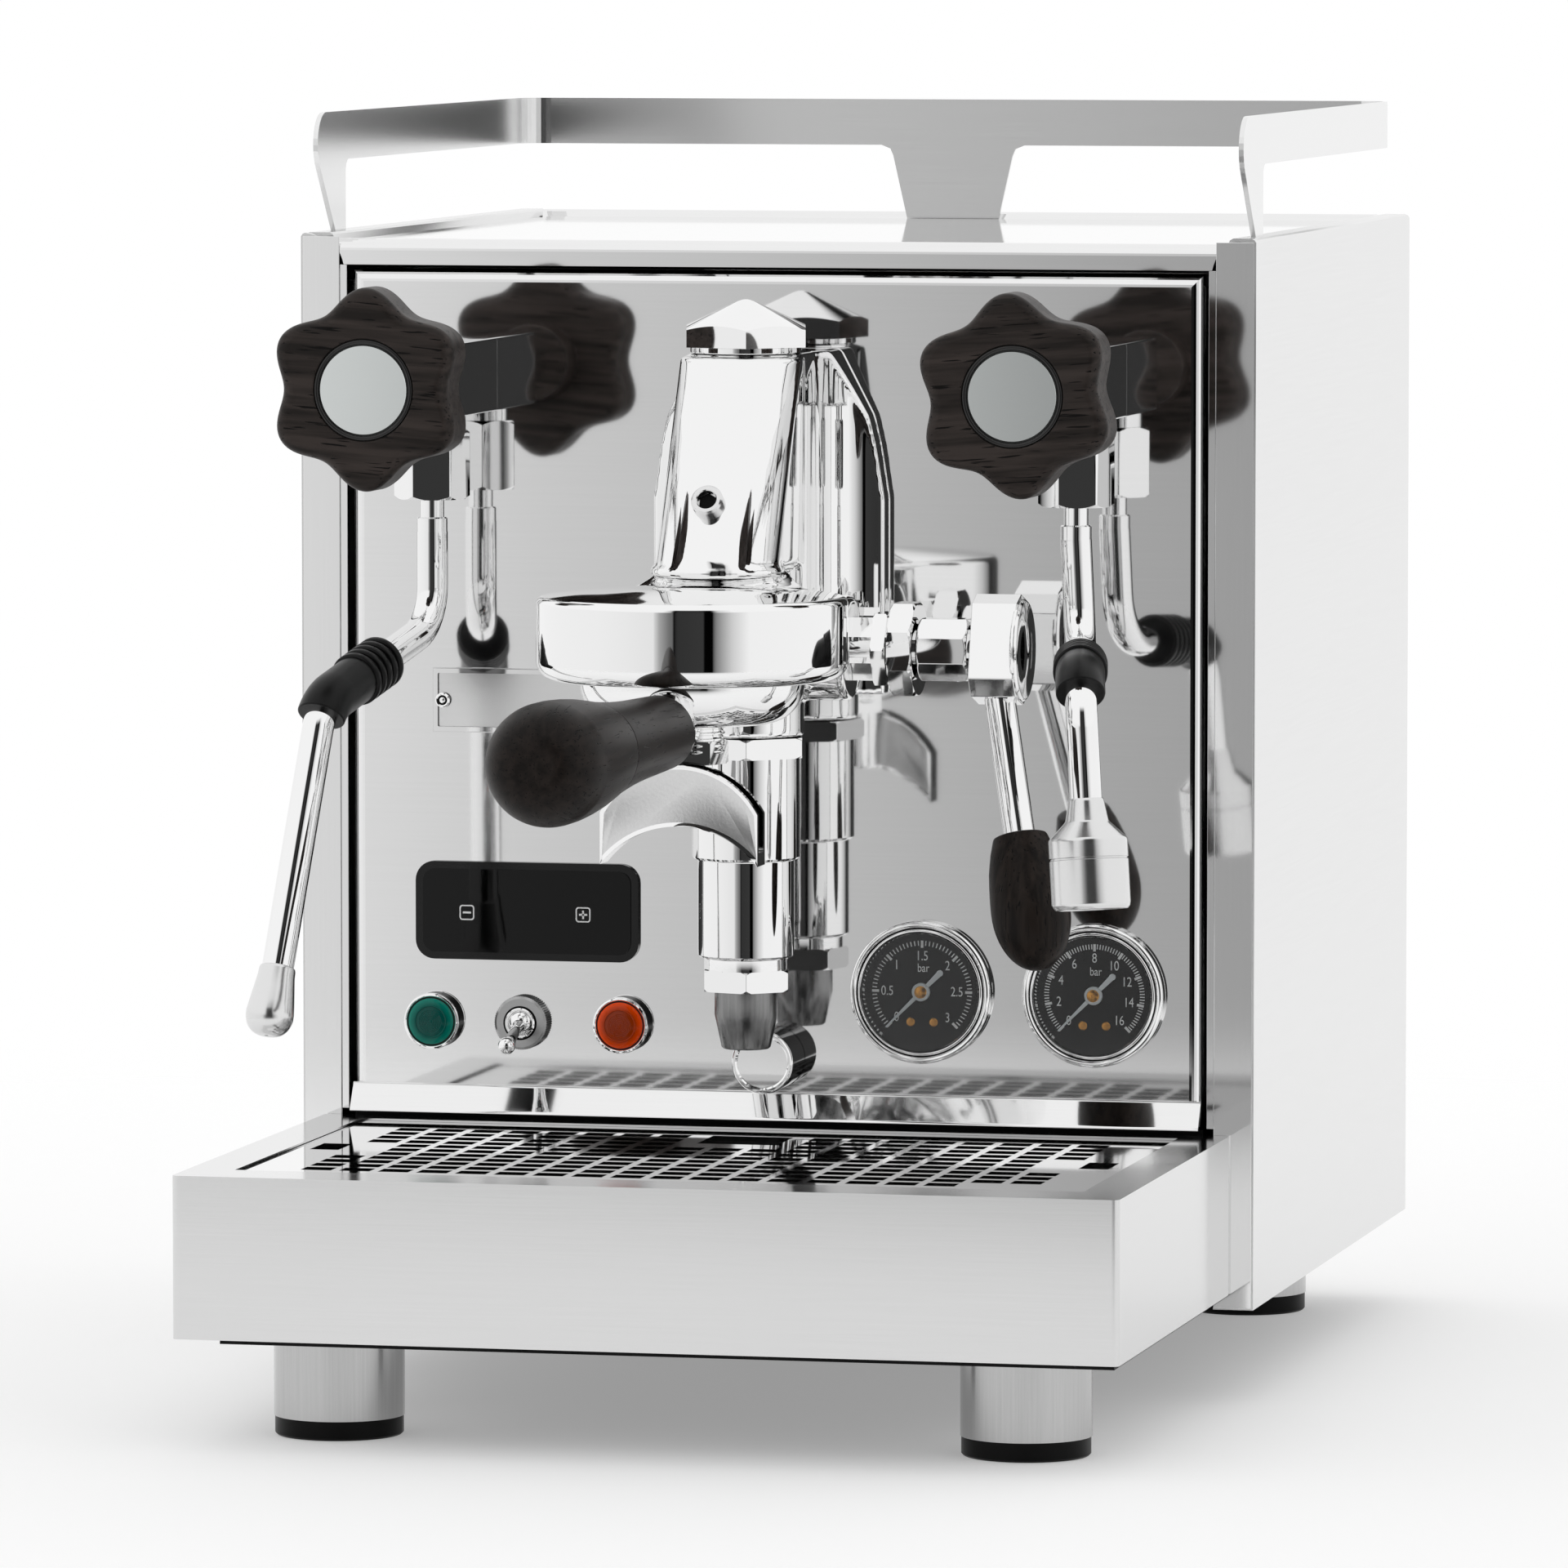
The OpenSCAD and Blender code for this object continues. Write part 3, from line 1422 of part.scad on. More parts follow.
module at_knob(side)
    on_panel(side * knob_x, valve_z, -knob_back)
    children();

module steam_stem()
    translate([-knob_x, 0, 0])
    stem();

module water_stem()
    translate([knob_x, 0, 0])
    stem();

module steam_knob() color("saddlebrown")
    at_knob(-1)
    knob();

module water_knob() color("saddlebrown")
    at_knob(1)
    rotate(5)
    knob();

module steam_knob_disc()
    at_knob(-1)
    knob_disc();

module water_knob_disc()
    at_knob(1)
    knob_disc();

module wand(side, route) color("silver") {
    bent_tube(route, wand_r, 0, wand_bend);
    translate([side * valve_x, -swivel_y, nut_bottom - 5.5])
    cylinder(r = neck_r, h = wand_top - nut_bottom + 5.5);
    translate([side * valve_x, -swivel_y, nut_bottom - 10])
    cylinder(r = 4.7, h = 4.5);
}

module steam_wand()
    wand(-1, steam_route);

module water_wand()
    wand(1, water_route);

// Rubber sleeve over the run and the lower bend of a wand, ribbed along the run.
// Ribbed rubber sleeve on a wand's middle stretch and a part of the bend after it.
module wand_grip(route, inset, bend_part) color("black") {
    bore = wand_r + 0.05;
    hair = 0.02;
    dir = unit(route[2] - route[1]);
    next = unit(route[3] - route[2]);
    turn = acos(dir * next);
    start = route[1] + dir * inset;
    bend_start = route[2] - dir * wand_bend * tan(turn / 2);
    side = unit(next - dir * (dir * next));
    up = cross(-side, dir);
    centre = bend_start + side * wand_bend;
    along(start, bend_start)
    tube_z(7.4, bore, norm(bend_start - start) + 0.5);
    multmatrix([for (k = [0:2]) [-side[k], dir[k], up[k], centre[k]]])
    rotate_extrude(angle = turn * bend_part)
    translate([wand_bend, 0])
    ring(7.4 + hair, bore - hair);
    for (i = [0:4])
        along(start, route[2])
        translate([0, 0, 0.5 + i * 3.6])
        tube_z(8.2, bore + 1, 2);
}

module steam_grip()
    wand_grip(steam_route, 34.5, 0.7);

module water_grip()
    wand_grip(water_route, 27, 0.5);

module steam_tip() color("silver")
    along(steam_route[3], 2 * steam_route[3] - steam_route[2])
    rotate_extrude()
    polygon(concat(
        [[0, 0], [5.3, 0], [5.5, 1], [5.6, 3], [7.2, 14]],
        [for (a = [15:15:75]) [2 + 5.2 * cos(a), 15 + 6.2 * sin(a)]],
        [[2, 21.2], [0, 21.2]]
    ));

module water_nozzle() color("silver")
    along(water_route[3], 2 * water_route[3] - water_route[2])
    difference() {
        rotate_extrude()
        polygon([
            [0, 0], [5.3, 0], [5.3, 0.6], [6.5, 7], [6.9, 7.3], [11.5, 12], [11.8, 12.7], [11.8, 17.7],
            [11.4, 17.9], [11.8, 18.1], [11.8, 31.6], [10.8, 33], [0, 33],
        ]);
        translate([0, 0, 29])
        cylinder(r = 9.6, h = 5);
    }

// ---- Inside the case --------------------------------------------------------

module boiler() color("peru")
    translate([-boiler_l / 2, boiler_y, boiler_z])
    rotate([0, 90, 0]) {
        rotate_extrude()
        polygon(concat(
            [[0, 0]],
            [for (a = [15:15:90]) [boiler_r * sin(a), 16 - 16 * cos(a)]],
            [[boiler_r, boiler_l - 16], [boiler_r + 3, boiler_l - 16]],
            [[boiler_r + 3, boiler_l - 6], [0, boiler_l - 6]]
        ));
        for (a = [0:45:315])
            rotate(a)
            translate([boiler_r - 5, 0, boiler_l - 7])
            hexagon(10, 7);
    }

module pump() color("dimgray")
    translate([-85, boiler_y, pan_top]) {
        for (x = [-30, 30])
            translate([x, 0, 0])
            cylinder(r = 9, h = 14);
        box(-45, 45, -28, 28, 14, 18);
        box(-26, 26, -24, 24, 18, 66);
        translate([-52, 0, 42])
        rotate([0, 90, 0])
        cylinder(r = 11, h = 104);
    }

module water_tank() color("lightcyan")
    difference() {
        box(-tank_x, tank_x, tank_y1 - tank_d, tank_y1 - 1, tank_z, tank_z + tank_h);
        box(-tank_x + tank_wall, tank_x - tank_wall, tank_y1 - tank_d + tank_wall,
            tank_y1 - 1 - tank_wall, tank_z + tank_wall, tank_z + tank_h + 1);
    }

module control_box() color("gray")
    translate([75, boiler_y, pan_top]) {
        for (x = [-24, 24], y = [-30, 30])
            translate([x, y, 0])
            cylinder(r = 4, h = 8);
        box(-32, 32, -42, 42, 8, 76);
    }

// Power inlet: a flange on the rear panel, its body inside and three contact blades.
module power_inlet() color("black")
    translate([inlet_x, case_d, inlet_z]) {
        difference() {
            union() {
                box(-inlet_w / 2, inlet_w / 2, 0, inlet_flange, -12, 12);
                box(-inlet_w / 2 + 11.1, inlet_w / 2 - 11.1, -24, 0, -10, 10);
            }
            box(-inlet_w / 2 + 13, inlet_w / 2 - 13, -18, 2, -8, 8);
        }
        for (x = [-7, 0, 7])
            box(x - 1, x + 1, -18, -2, -2, 2);
    }

// Moves a node so that the frame's origin is under the middle of the whole width and depth.
module centred()
    translate([0, centre_shift, 0])
    children();

// ---- Nodes ------------------------------------------------------------------

centred() base_frame();
centred() foot_sleeves();
centred() foot_pads();
centred() front_panel();
centred() left_side_panel();
centred() right_side_panel();
centred() rear_panel();
centred() top_cover();
centred() cup_tray();
centred() cup_rail();
centred() drip_tray();
centred() drip_grid();
centred() display_frame();
centred() display_window();
centred() lamp_bezels();
centred() green_lens();
centred() orange_lens();
centred() switch_bushing();
centred() switch_lever();
centred() gauge_cases();
centred() gauge_dials();
centred() gauge_glasses();
centred() boiler_needle();
centred() pump_needle();
centred() badge_plate();
centred() drain_stub();
centred() group_body();
centred() group_cap();
centred() port_screw();
centred() group_gasket();
centred() shower_screen();
centred() infusion_chamber();
centred() shaft_nut();
centred() cam_shaft();
centred() lever_hub();
centred() lever_rod();
centred() lever_grip();
centred() basket();
centred() portafilter_body();
centred() portafilter_handle();
centred() double_spout();
centred() valve_blocks();
centred() valve_nuts();
centred() steam_stem();
centred() steam_knob();
centred() steam_knob_disc();
centred() water_stem();
centred() water_knob();
centred() water_knob_disc();
centred() steam_wand();
centred() steam_grip();
centred() steam_tip();
centred() water_wand();
centred() water_grip();
centred() water_nozzle();
centred() boiler();
centred() pump();
centred() water_tank();
centred() control_box();
centred() power_inlet();
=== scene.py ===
import math

import bmesh
import bpy
from mathutils import Matrix, Vector


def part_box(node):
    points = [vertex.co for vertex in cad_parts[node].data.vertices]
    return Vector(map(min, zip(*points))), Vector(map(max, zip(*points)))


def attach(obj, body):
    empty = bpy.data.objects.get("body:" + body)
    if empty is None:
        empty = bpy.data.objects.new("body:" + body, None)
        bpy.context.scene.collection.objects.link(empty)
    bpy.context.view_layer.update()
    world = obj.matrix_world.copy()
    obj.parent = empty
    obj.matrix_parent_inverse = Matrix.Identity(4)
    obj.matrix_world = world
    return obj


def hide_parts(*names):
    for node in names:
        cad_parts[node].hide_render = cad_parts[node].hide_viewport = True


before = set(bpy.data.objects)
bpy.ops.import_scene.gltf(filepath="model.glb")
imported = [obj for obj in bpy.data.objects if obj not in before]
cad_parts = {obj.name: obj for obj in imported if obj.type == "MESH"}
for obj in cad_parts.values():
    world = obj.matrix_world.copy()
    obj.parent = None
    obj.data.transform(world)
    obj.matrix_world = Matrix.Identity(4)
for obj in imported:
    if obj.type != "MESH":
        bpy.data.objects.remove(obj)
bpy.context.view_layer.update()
# the front panel's plane, from which depths are measured
PANEL_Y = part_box("front_panel")[0][1]

# --------------------------------------
# The studio: a long lens a little above the machine and to its right, a white floor that fades
# out all round, and two tall soft boxes that meet overhead, with a dark gap where the lens stands.
# --------------------------------------
scene = bpy.context.scene
scene.view_settings.view_transform = "Standard"

CAMERA_PLACE = Vector((0.775, PANEL_Y - 3.381, 0.461))
CAMERA_TURN = math.radians(12.86)
CAMERA_DIP = math.radians(4.51)
camera = bpy.data.objects.new("camera", bpy.data.cameras.new("camera"))
camera.data.lens = 260
camera.data.sensor_width = 36
camera.data.clip_end = 100
camera.location = CAMERA_PLACE
camera.rotation_euler = (math.pi / 2 - CAMERA_DIP, 0, CAMERA_TURN)
scene.collection.objects.link(camera)
scene.camera = camera


def linear(colour):
    """An sRGB hex colour as the linear colour that a socket takes."""
    parts = [int(colour[i:i + 2], 16) / 255 for i in (0, 2, 4)]
    return (*[p / 12.92 if p < 0.04045 else ((p + 0.055) / 1.055) ** 2.4 for p in parts], 1.0)


def add(tree, kind, sockets=None, stops=None, **settings):
    """One node with its settings, its sockets' values or links, and a ramp's stops."""
    node = tree.nodes.new("ShaderNode" + kind)
    for name, value in settings.items():
        setattr(node, name, value)
    for name, value in (sockets or {}).items():
        if isinstance(value, bpy.types.NodeSocket):
            tree.links.new(value, node.inputs[name])
        else:
            node.inputs[name].default_value = value
    for number, (place, colour) in enumerate(stops or []):
        while len(node.color_ramp.elements) <= number:
            node.color_ramp.elements.new(1.0)
        node.color_ramp.elements[number].position = place
        node.color_ramp.elements[number].color = linear(colour)
    return node


# How bright the studio is all round, at eye level: degrees from straight ahead of the machine,
# to its right, and the grey seen there. The gap between the soft boxes is from -1 to 29.
STUDIO_LEVELS = [
    (-180, "FFFFFF"), (-60, "F8F8F8"), (-38, "F4F4F4"), (-24, "F0F0F0"), (-15.2, "EEEEEE"),
    (-13.8, "CFCFCF"), (-12.2, "C2C2C2"), (-11, "AAAAAA"), (-4, "787878"), (-1.1, "6C6C6C"),
    (-0.9, "060606"), (1.1, "060606"), (1.5, "333333"), (22, "393939"), (22.4, "040404"),
    (28.6, "020202"), (30, "7C7C7C"), (43, "D6D6D6"), (56, "FBFBFB"), (180, "FFFFFF"),
]
world = bpy.data.worlds.new("studio")
scene.world = world
world.use_nodes = True
tree = world.node_tree
tree.nodes.clear()
way = add(tree, "SeparateXYZ", {0: add(tree, "TexCoord").outputs["Generated"]})
ahead = add(tree, "Math", {0: way.outputs["Y"], 1: -1}, operation="MULTIPLY")
turn = add(tree, "Math", {0: way.outputs["X"], 1: ahead.outputs[0]}, operation="ARCTAN2")
turn = add(tree, "MapRange", {"Value": turn.outputs[0], "From Min": -math.pi, "From Max": math.pi})
round_levels = add(tree, "ValToRGB", {"Fac": turn.outputs[0]},
                   [((degrees + 180) / 360, grey) for degrees, grey in STUDIO_LEVELS])
# from 6 to 14 degrees up the boxes are bright to their edges, and they meet at 34 to 46 degrees
UPPER_LEVELS = [(-180, "FFFFFF"), (-9, "FFFFFF"), (-3, "C8C8C8"), (-1, "0C0C0C"), (1, "0C0C0C"),
                (2, "303030"), (21, "303030"), (23, "040404"), (28, "040404"), (33, "D8D8D8"),
                (45, "FFFFFF"), (180, "FFFFFF")]
upper_levels = add(tree, "ValToRGB", {"Fac": turn.outputs[0]},
                   [((degrees + 180) / 360, grey) for degrees, grey in UPPER_LEVELS])
levels = round_levels.outputs[0]
for low, high, above in ((6, 14, upper_levels.outputs[0]), (34, 46, linear("FFFFFF"))):
    height = add(tree, "MapRange", {"Value": way.outputs["Z"],
                                    "From Min": math.sin(math.radians(low)),
                                    "From Max": math.sin(math.radians(high))},
                 interpolation_type="SMOOTHSTEP")
    levels = add(tree, "Mix", {"Factor": height.outputs[0], "A": levels, "B": above},
                 data_type="RGBA").outputs["Result"]
rays = add(tree, "LightPath")
seen = add(tree, "Mix", {"Factor": rays.outputs["Is Camera Ray"], "A": levels,
                         "B": (1, 1, 1, 1)}, data_type="RGBA")
sky = add(tree, "Background", {"Color": seen.outputs["Result"], "Strength": 1.0})
add(tree, "OutputWorld", {"Surface": sky.outputs[0]})


def new_material(name):
    """An empty material and its node tree, with the place on the piece as its first node."""
    made = bpy.data.materials.new(name)
    made.use_nodes = True
    made.node_tree.nodes.clear()
    return made, made.node_tree, add(made.node_tree, "TexCoord").outputs["Object"]


# The floor is matt white card. It gives the machine its shadow and fades out before its edge.
floor_card, tree, place = new_material("white card")
reach = add(tree, "VectorMath", {0: place}, operation="LENGTH")
fade = add(tree, "MapRange", {"Value": reach.outputs["Value"], "From Min": 0.55, "From Max": 1.2},
           interpolation_type="SMOOTHSTEP")
matt = add(tree, "BsdfDiffuse", {"Color": linear("DDDDDD")})
rays = add(tree, "LightPath")
shown = add(tree, "Math", {0: rays.outputs["Is Camera Ray"], 1: rays.outputs["Is Glossy Ray"]},
            operation="ADD", use_clamp=True)
shown = add(tree, "Math", {0: shown.outputs[0], 1: rays.outputs["Is Transmission Ray"]},
            operation="ADD", use_clamp=True)
glow = add(tree, "Math", {0: shown.outputs[0], 1: 0.3}, operation="MULTIPLY")
white = add(tree, "Emission", {"Color": (1, 1, 1, 1), "Strength": glow.outputs[0]})
card = add(tree, "AddShader", {0: matt.outputs[0], 1: white.outputs[0]})
gone = add(tree, "BsdfTransparent")
card = add(tree, "MixShader", {0: fade.outputs[0], 1: card.outputs[0], 2: gone.outputs[0]})
add(tree, "OutputMaterial", {"Surface": card.outputs[0]})

shape = bmesh.new()
bmesh.ops.create_circle(shape, cap_ends=True, segments=96, radius=1.25)
mesh = bpy.data.meshes.new("floor")
shape.to_mesh(mesh)
floor = bpy.data.objects.new("floor", mesh)
floor.location = (0, 0, -0.0002)
mesh.materials.append(floor_card)
scene.collection.objects.link(floor)

# --------------------------------------
# The case: 1.5 mm stainless sheet, folded and spot welded. The front panel, top cover, cup tray
# and grid are polished to a mirror, and the sides, rear, rail and drip tray are finely ground.
# --------------------------------------


def finish(material, *names):
    """Gives CAD nodes their real material."""
    for name in names:
        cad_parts[name].material_slots[0].material = material


def metal(name, colour, roughness, line_mm, relief_mm, along, shade=0.0):
    """Ground or polished metal: fine lines along one axis, line_mm apart and relief_mm deep."""
    made, tree, place = new_material(name)
    across = 1000 / line_mm
    scale = [across / 60 if axis == along else across for axis in "XYZ"]
    spread = add(tree, "Mapping", {"Vector": place, "Scale": scale})
    lines = add(tree, "TexNoise", {"Vector": spread.outputs[0], "Scale": 1.0, "Detail": 3.0,
                                   "Roughness": 0.6})
    relief = add(tree, "Bump", {"Height": lines.outputs["Fac"], "Strength": 1.0,
                                "Distance": relief_mm / 1000})
    dark = tuple(c * (1 - shade) for c in linear(colour)[:3]) + (1.0,)
    tone = add(tree, "Mix", {"Factor": lines.outputs["Fac"], "A": linear(colour), "B": dark},
               data_type="RGBA")
    surface = add(tree, "BsdfPrincipled", {"Base Color": tone.outputs["Result"], "Metallic": 1.0,
                                           "Roughness": roughness, "Normal": relief.outputs[0]})
    add(tree, "OutputMaterial", {"Surface": surface.outputs[0]})
    return made


# Stainless sheet, mirror polished after grinding: the lines barely show, but they soften what it
# mirrors up and down.
mirror_sheet = metal("polished stainless sheet", "EFEFEF", 0.045, 0.8, 0.0004, "X", 0.04)
finish(mirror_sheet, "front_panel", "top_cover", "cup_tray", "drip_grid")

# The same sheet with its ground finish left on, so it is pale and soft.
ground_sheet = metal("ground stainless sheet", "EDEDED", 0.2, 0.7, 0.002, "X", 0.06)
finish(ground_sheet, "cup_rail", "rear_panel", "badge_plate")
# The tray is ground finer and then brushed, so its front carries the studio's light and dark.
brushed_tray = metal("brushed stainless tray", "DDDDDD", 0.12, 0.7, 0.001, "X", 0.06)
finish(brushed_tray, "drip_tray")
# The side panels' lines run from front to back, and they look a shade greyer.
ground_side = metal("ground stainless side", "E3E3E3", 0.2, 0.7, 0.002, "Y", 0.06)
finish(ground_side, "left_side_panel", "right_side_panel")


def coat(name, colour, roughness, grain_mm, relief_mm, ior=1.5, shade=0.25):
    """Moulded or painted plastic and rubber: one colour with a fine grain."""
    made, tree, place = new_material(name)
    grain = add(tree, "TexNoise", {"Vector": place, "Scale": 1000 / grain_mm, "Detail": 2.0})
    relief = add(tree, "Bump", {"Height": grain.outputs["Fac"], "Distance": relief_mm / 1000})
    dark = tuple(c * (1 - shade) for c in linear(colour)[:3]) + (1.0,)
    tone = add(tree, "Mix", {"Factor": grain.outputs["Fac"], "A": linear(colour), "B": dark},
               data_type="RGBA")
    surface = add(tree, "BsdfPrincipled", {"Base Color": tone.outputs["Result"],
                                           "Roughness": roughness, "IOR": ior,
                                           "Normal": relief.outputs[0]})
    add(tree, "OutputMaterial", {"Surface": surface.outputs[0]})
    return made


# Powder-coated mild steel: matt black with a fine orange peel.
black_frame = coat("black powder coat", "070708", 0.5, 1.2, 0.01, 1.25)
finish(black_frame, "base_frame")

# --------------------------------------
# The feet: turned stainless sleeves over moulded rubber pads, screwed up into the base frame. The
# sleeves keep the marks of the lathe.
# --------------------------------------
# Stainless steel straight from the lathe: greyer than the sheet, with fine rings.
turned_steel = metal("turned stainless", "C6C6C6", 0.18, 0.6, 0.002, "Z", 0.2)
finish(turned_steel, "foot_sleeves")
# Moulded rubber: deep black with a soft, weak shine.
black_rubber = coat("moulded rubber", "050505", 0.35, 0.5, 0.008, 1.22)
finish(black_rubber, "foot_pads")

# --------------------------------------
# The side panels' front edges: folded in, and polished like the front panel that they frame. A
# narrow lip turns back beside the front panel.
# --------------------------------------


def upright(x, y, z=0):
    """A place in mm, measured from the middle, the front panel's plane and the floor."""
    return Matrix.Translation((x / 1000, PANEL_Y + y / 1000, z / 1000))


def piece(name, parts, material, body, stands_for=(), edge_mm=0.0, sharp=35):
    """A finished piece from bmesh shapes and their places, with its edges eased by edge_mm."""
    mesh = bpy.data.meshes.new(name)
    whole = bmesh.new()
    for shape, place in parts:
        bmesh.ops.transform(shape, matrix=place, verts=shape.verts)
        shape.to_mesh(mesh)
        whole.from_mesh(mesh)
        shape.free()
    whole.to_mesh(mesh)
    whole.free()
    mesh.shade_smooth()
    mesh.set_sharp_from_angle(angle=math.radians(sharp))
    for one in material if isinstance(material, list) else [material]:
        mesh.materials.append(one)
    made = bpy.data.objects.new(name, mesh)
    scene.collection.objects.link(made)
    if edge_mm:
        eased = made.modifiers.new("eased edges", "BEVEL")
        eased.width = edge_mm / 1000
        eased.segments = 3
        eased.limit_method = "ANGLE"
        eased.angle_limit = math.radians(sharp)
        eased.harden_normals = True
    else:
        even = made.modifiers.new("even shading", "WEIGHTED_NORMAL")
        even.keep_sharp = True
    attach(made, body)
    if stands_for:
        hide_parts(*([stands_for] if isinstance(stands_for, str) else stands_for))
    return made


def strip_between(left, right, front, back, low, high):
    """A straight strip of sheet between bounds in mm, measured as upright() does."""
    shape = bmesh.new()
    bmesh.ops.create_cube(shape, size=0.001)
    bmesh.ops.scale(shape, vec=(right - left, back - front, high - low), verts=shape.verts)
    return shape, upright((left + right) / 2, (front + back) / 2, (low + high) / 2)


# Polished like the front panel, but along the edge, so it is a slightly softer mirror.
polished_edge = metal("polished stainless edge", "EAEAEA", 0.06, 0.8, 0.0005, "Z", 0.04)
piece("side_panel_edges", [strip_between(-149.4, -137.7, -0.35, 0.05, 29.2, 354.6),
                           strip_between(137.7, 149.4, -0.35, 0.05, 29.2, 354.6),
                           strip_between(-137.6, -135.4, 0.1, 1.1, 84.1, 345.9),
                           strip_between(135.4, 137.6, 0.1, 1.1, 84.1, 345.9)],
      polished_edge, "case", edge_mm=0.12)

# --------------------------------------
# The base frame: folded mild steel, powder coated. The tray slides on its tongue, whose front edge
# lies well behind the tray's.
# --------------------------------------
tongue = bmesh.new()
tongue.from_mesh(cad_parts["base_frame"].data)
bmesh.ops.remove_doubles(tongue, verts=tongue.verts, dist=1e-6)
for vert in tongue.verts:
    if vert.co.y < PANEL_Y - 0.15:
        vert.co.y = PANEL_Y - 0.147
piece("tray_runner", [(tongue, Matrix.Identity(4))], black_frame, "case",
      "base_frame", sharp=20)

# --------------------------------------
# The front panel's lower fold: the same sheet, rolled forward over the back of the drip tray so
# that drips run into it.
# --------------------------------------
SLOPE = math.radians(32)
outwards = Vector((0, math.cos(SLOPE), -math.sin(SLOPE)))
downwards = Vector((0, -math.sin(SLOPE), -math.cos(SLOPE)))
upper_bend = Vector((0, PANEL_Y - 0.0016, 0.0921))
lower_bend = upper_bend + outwards * 0.0027 + downwards * 0.008


def drawn(shape, edges):
    """Draws a rim out into a new row of faces, and gives the row's new corners and rim."""
    grown = bmesh.ops.extrude_edge_only(shape, edges=edges)["geom"]
    new = [g for g in grown if isinstance(g, bmesh.types.BMVert)]
    rim = [g for g in grown if isinstance(g, bmesh.types.BMEdge) and set(g.verts) <= set(new)]
    return new, rim


def round_axis(middle, angle):
    """A turn about a line along X through a point."""
    return Matrix.Translation(middle) @ Matrix.Rotation(angle, 4, "X") @ Matrix.Translation(-middle)


strip = bmesh.new()
ends = [strip.verts.new((x, PANEL_Y - 0.0001, 0.0925)) for x in (-0.1338, 0.1338)]
rim = [strip.edges.new(ends)]
for step in ([Matrix.Translation((0, 0, -0.0004))] + [round_axis(upper_bend, -SLOPE / 5)] * 5
             + [Matrix.Translation(downwards * 0.008)] + [round_axis(lower_bend, SLOPE / 5)] * 5):
    row, rim = drawn(strip, rim)
    bmesh.ops.transform(strip, matrix=step, verts=row)
bmesh.ops.solidify(strip, geom=strip.faces, thickness=-0.0008)
bmesh.ops.recalc_face_normals(strip, faces=strip.faces)
piece("panel_lower_fold", [(strip, Matrix.Identity(4))], mirror_sheet, "case",
      edge_mm=0.3)

# --------------------------------------
# The group's bell: the front end of the brass casting, turned true, polished and chromed. Its
# lower edge has a bayonet groove inside, in which the portafilter's ears turn, and it holds the
# rubber gasket and the shower screen.
# --------------------------------------


def arc(middle, radius, start, end, steps):
    """Points of a round stretch of a profile or outline, in mm, between two angles in degrees."""
    angles = [math.radians(start + (end - start) * i / steps) for i in range(steps + 1)]
    return [(middle[0] + radius * math.cos(a), middle[1] + radius * math.sin(a)) for a in angles]


def oval(middle, wide, high, angles):
    """Points of an oval stretch of a profile, in mm, at angles in degrees."""
    return [(middle[0] + wide * math.cos(a), middle[1] + high * math.sin(a))
            for a in map(math.radians, angles)]


def turned(profile, steps=96, closed=False, turn=360):
    """A turned solid round +Z from a profile of radius and height in mm, or a sector of one."""
    shape = bmesh.new()
    verts = [shape.verts.new((radius / 1000, 0, height / 1000)) for radius, height in profile]
    edges = [shape.edges.new(pair) for pair in zip(verts, verts[1:])]
    if closed:
        edges.append(shape.edges.new((verts[-1], verts[0])))
    bmesh.ops.spin(shape, geom=verts + edges, axis=(0, 0, 1), cent=(0, 0, 0), dvec=(0, 0, 0),
                   angle=math.radians(turn), steps=steps, use_merge=turn == 360,
                   use_duplicate=False)
    bmesh.ops.remove_doubles(shape, verts=shape.verts, dist=1e-7)
    bmesh.ops.holes_fill(shape, edges=[e for e in shape.edges if e.is_boundary], sides=0)
    bmesh.ops.recalc_face_normals(shape, faces=shape.faces)
    return shape


def chrome(name, colour, roughness, wave_mm, relief_mm):
    """Polished chrome plate: a mirror with the slow unevenness that hand polishing leaves."""
    made, tree, place = new_material(name)
    waves = add(tree, "TexNoise", {"Vector": place, "Scale": 1000 / wave_mm, "Detail": 1.0})
    relief = add(tree, "Bump", {"Height": waves.outputs["Fac"], "Distance": relief_mm / 1000})
    surface = add(tree, "BsdfPrincipled", {"Base Color": linear(colour), "Metallic": 1.0,
                                           "Roughness": roughness, "Normal": relief.outputs[0]})
    add(tree, "OutputMaterial", {"Surface": surface.outputs[0]})
    return made


BELL_Y = -109
BELL = upright(0, BELL_Y)
# Chrome on turned brass: a nearly perfect mirror, so it shows the studio in sharp bands.
turned_chrome = chrome("chromed turned brass", "F2F2F2", 0.03, 20, 0.01)
finish(turned_chrome, "shower_screen")
finish(black_rubber, "group_gasket")
piece("group_bell", [(turned(
    [(0, 254.6), (12, 254.5), (20, 254.2), (36, 252.9)] + arc((44, 249.5), 2.5, 80, 0, 10)
    + arc((40.9, 232.7), 5.6, 0, -88, 20)
    + [(35.3, 227.1), (35.3, 231.3), (40.5, 231.3), (40.5, 237.3), (36.5, 237.3), (36.5, 245.2),
       (0, 245.2)], 192), BELL)], turned_chrome, "case")

# --------------------------------------
# The rest of the group's casting: a wall flange with hollow fillets, a column over the valves, a
# tube that leans out to the bell, and the lever's boss. Cast brass, ground by hand and chromed,
# so the pieces flow into each other.
# --------------------------------------


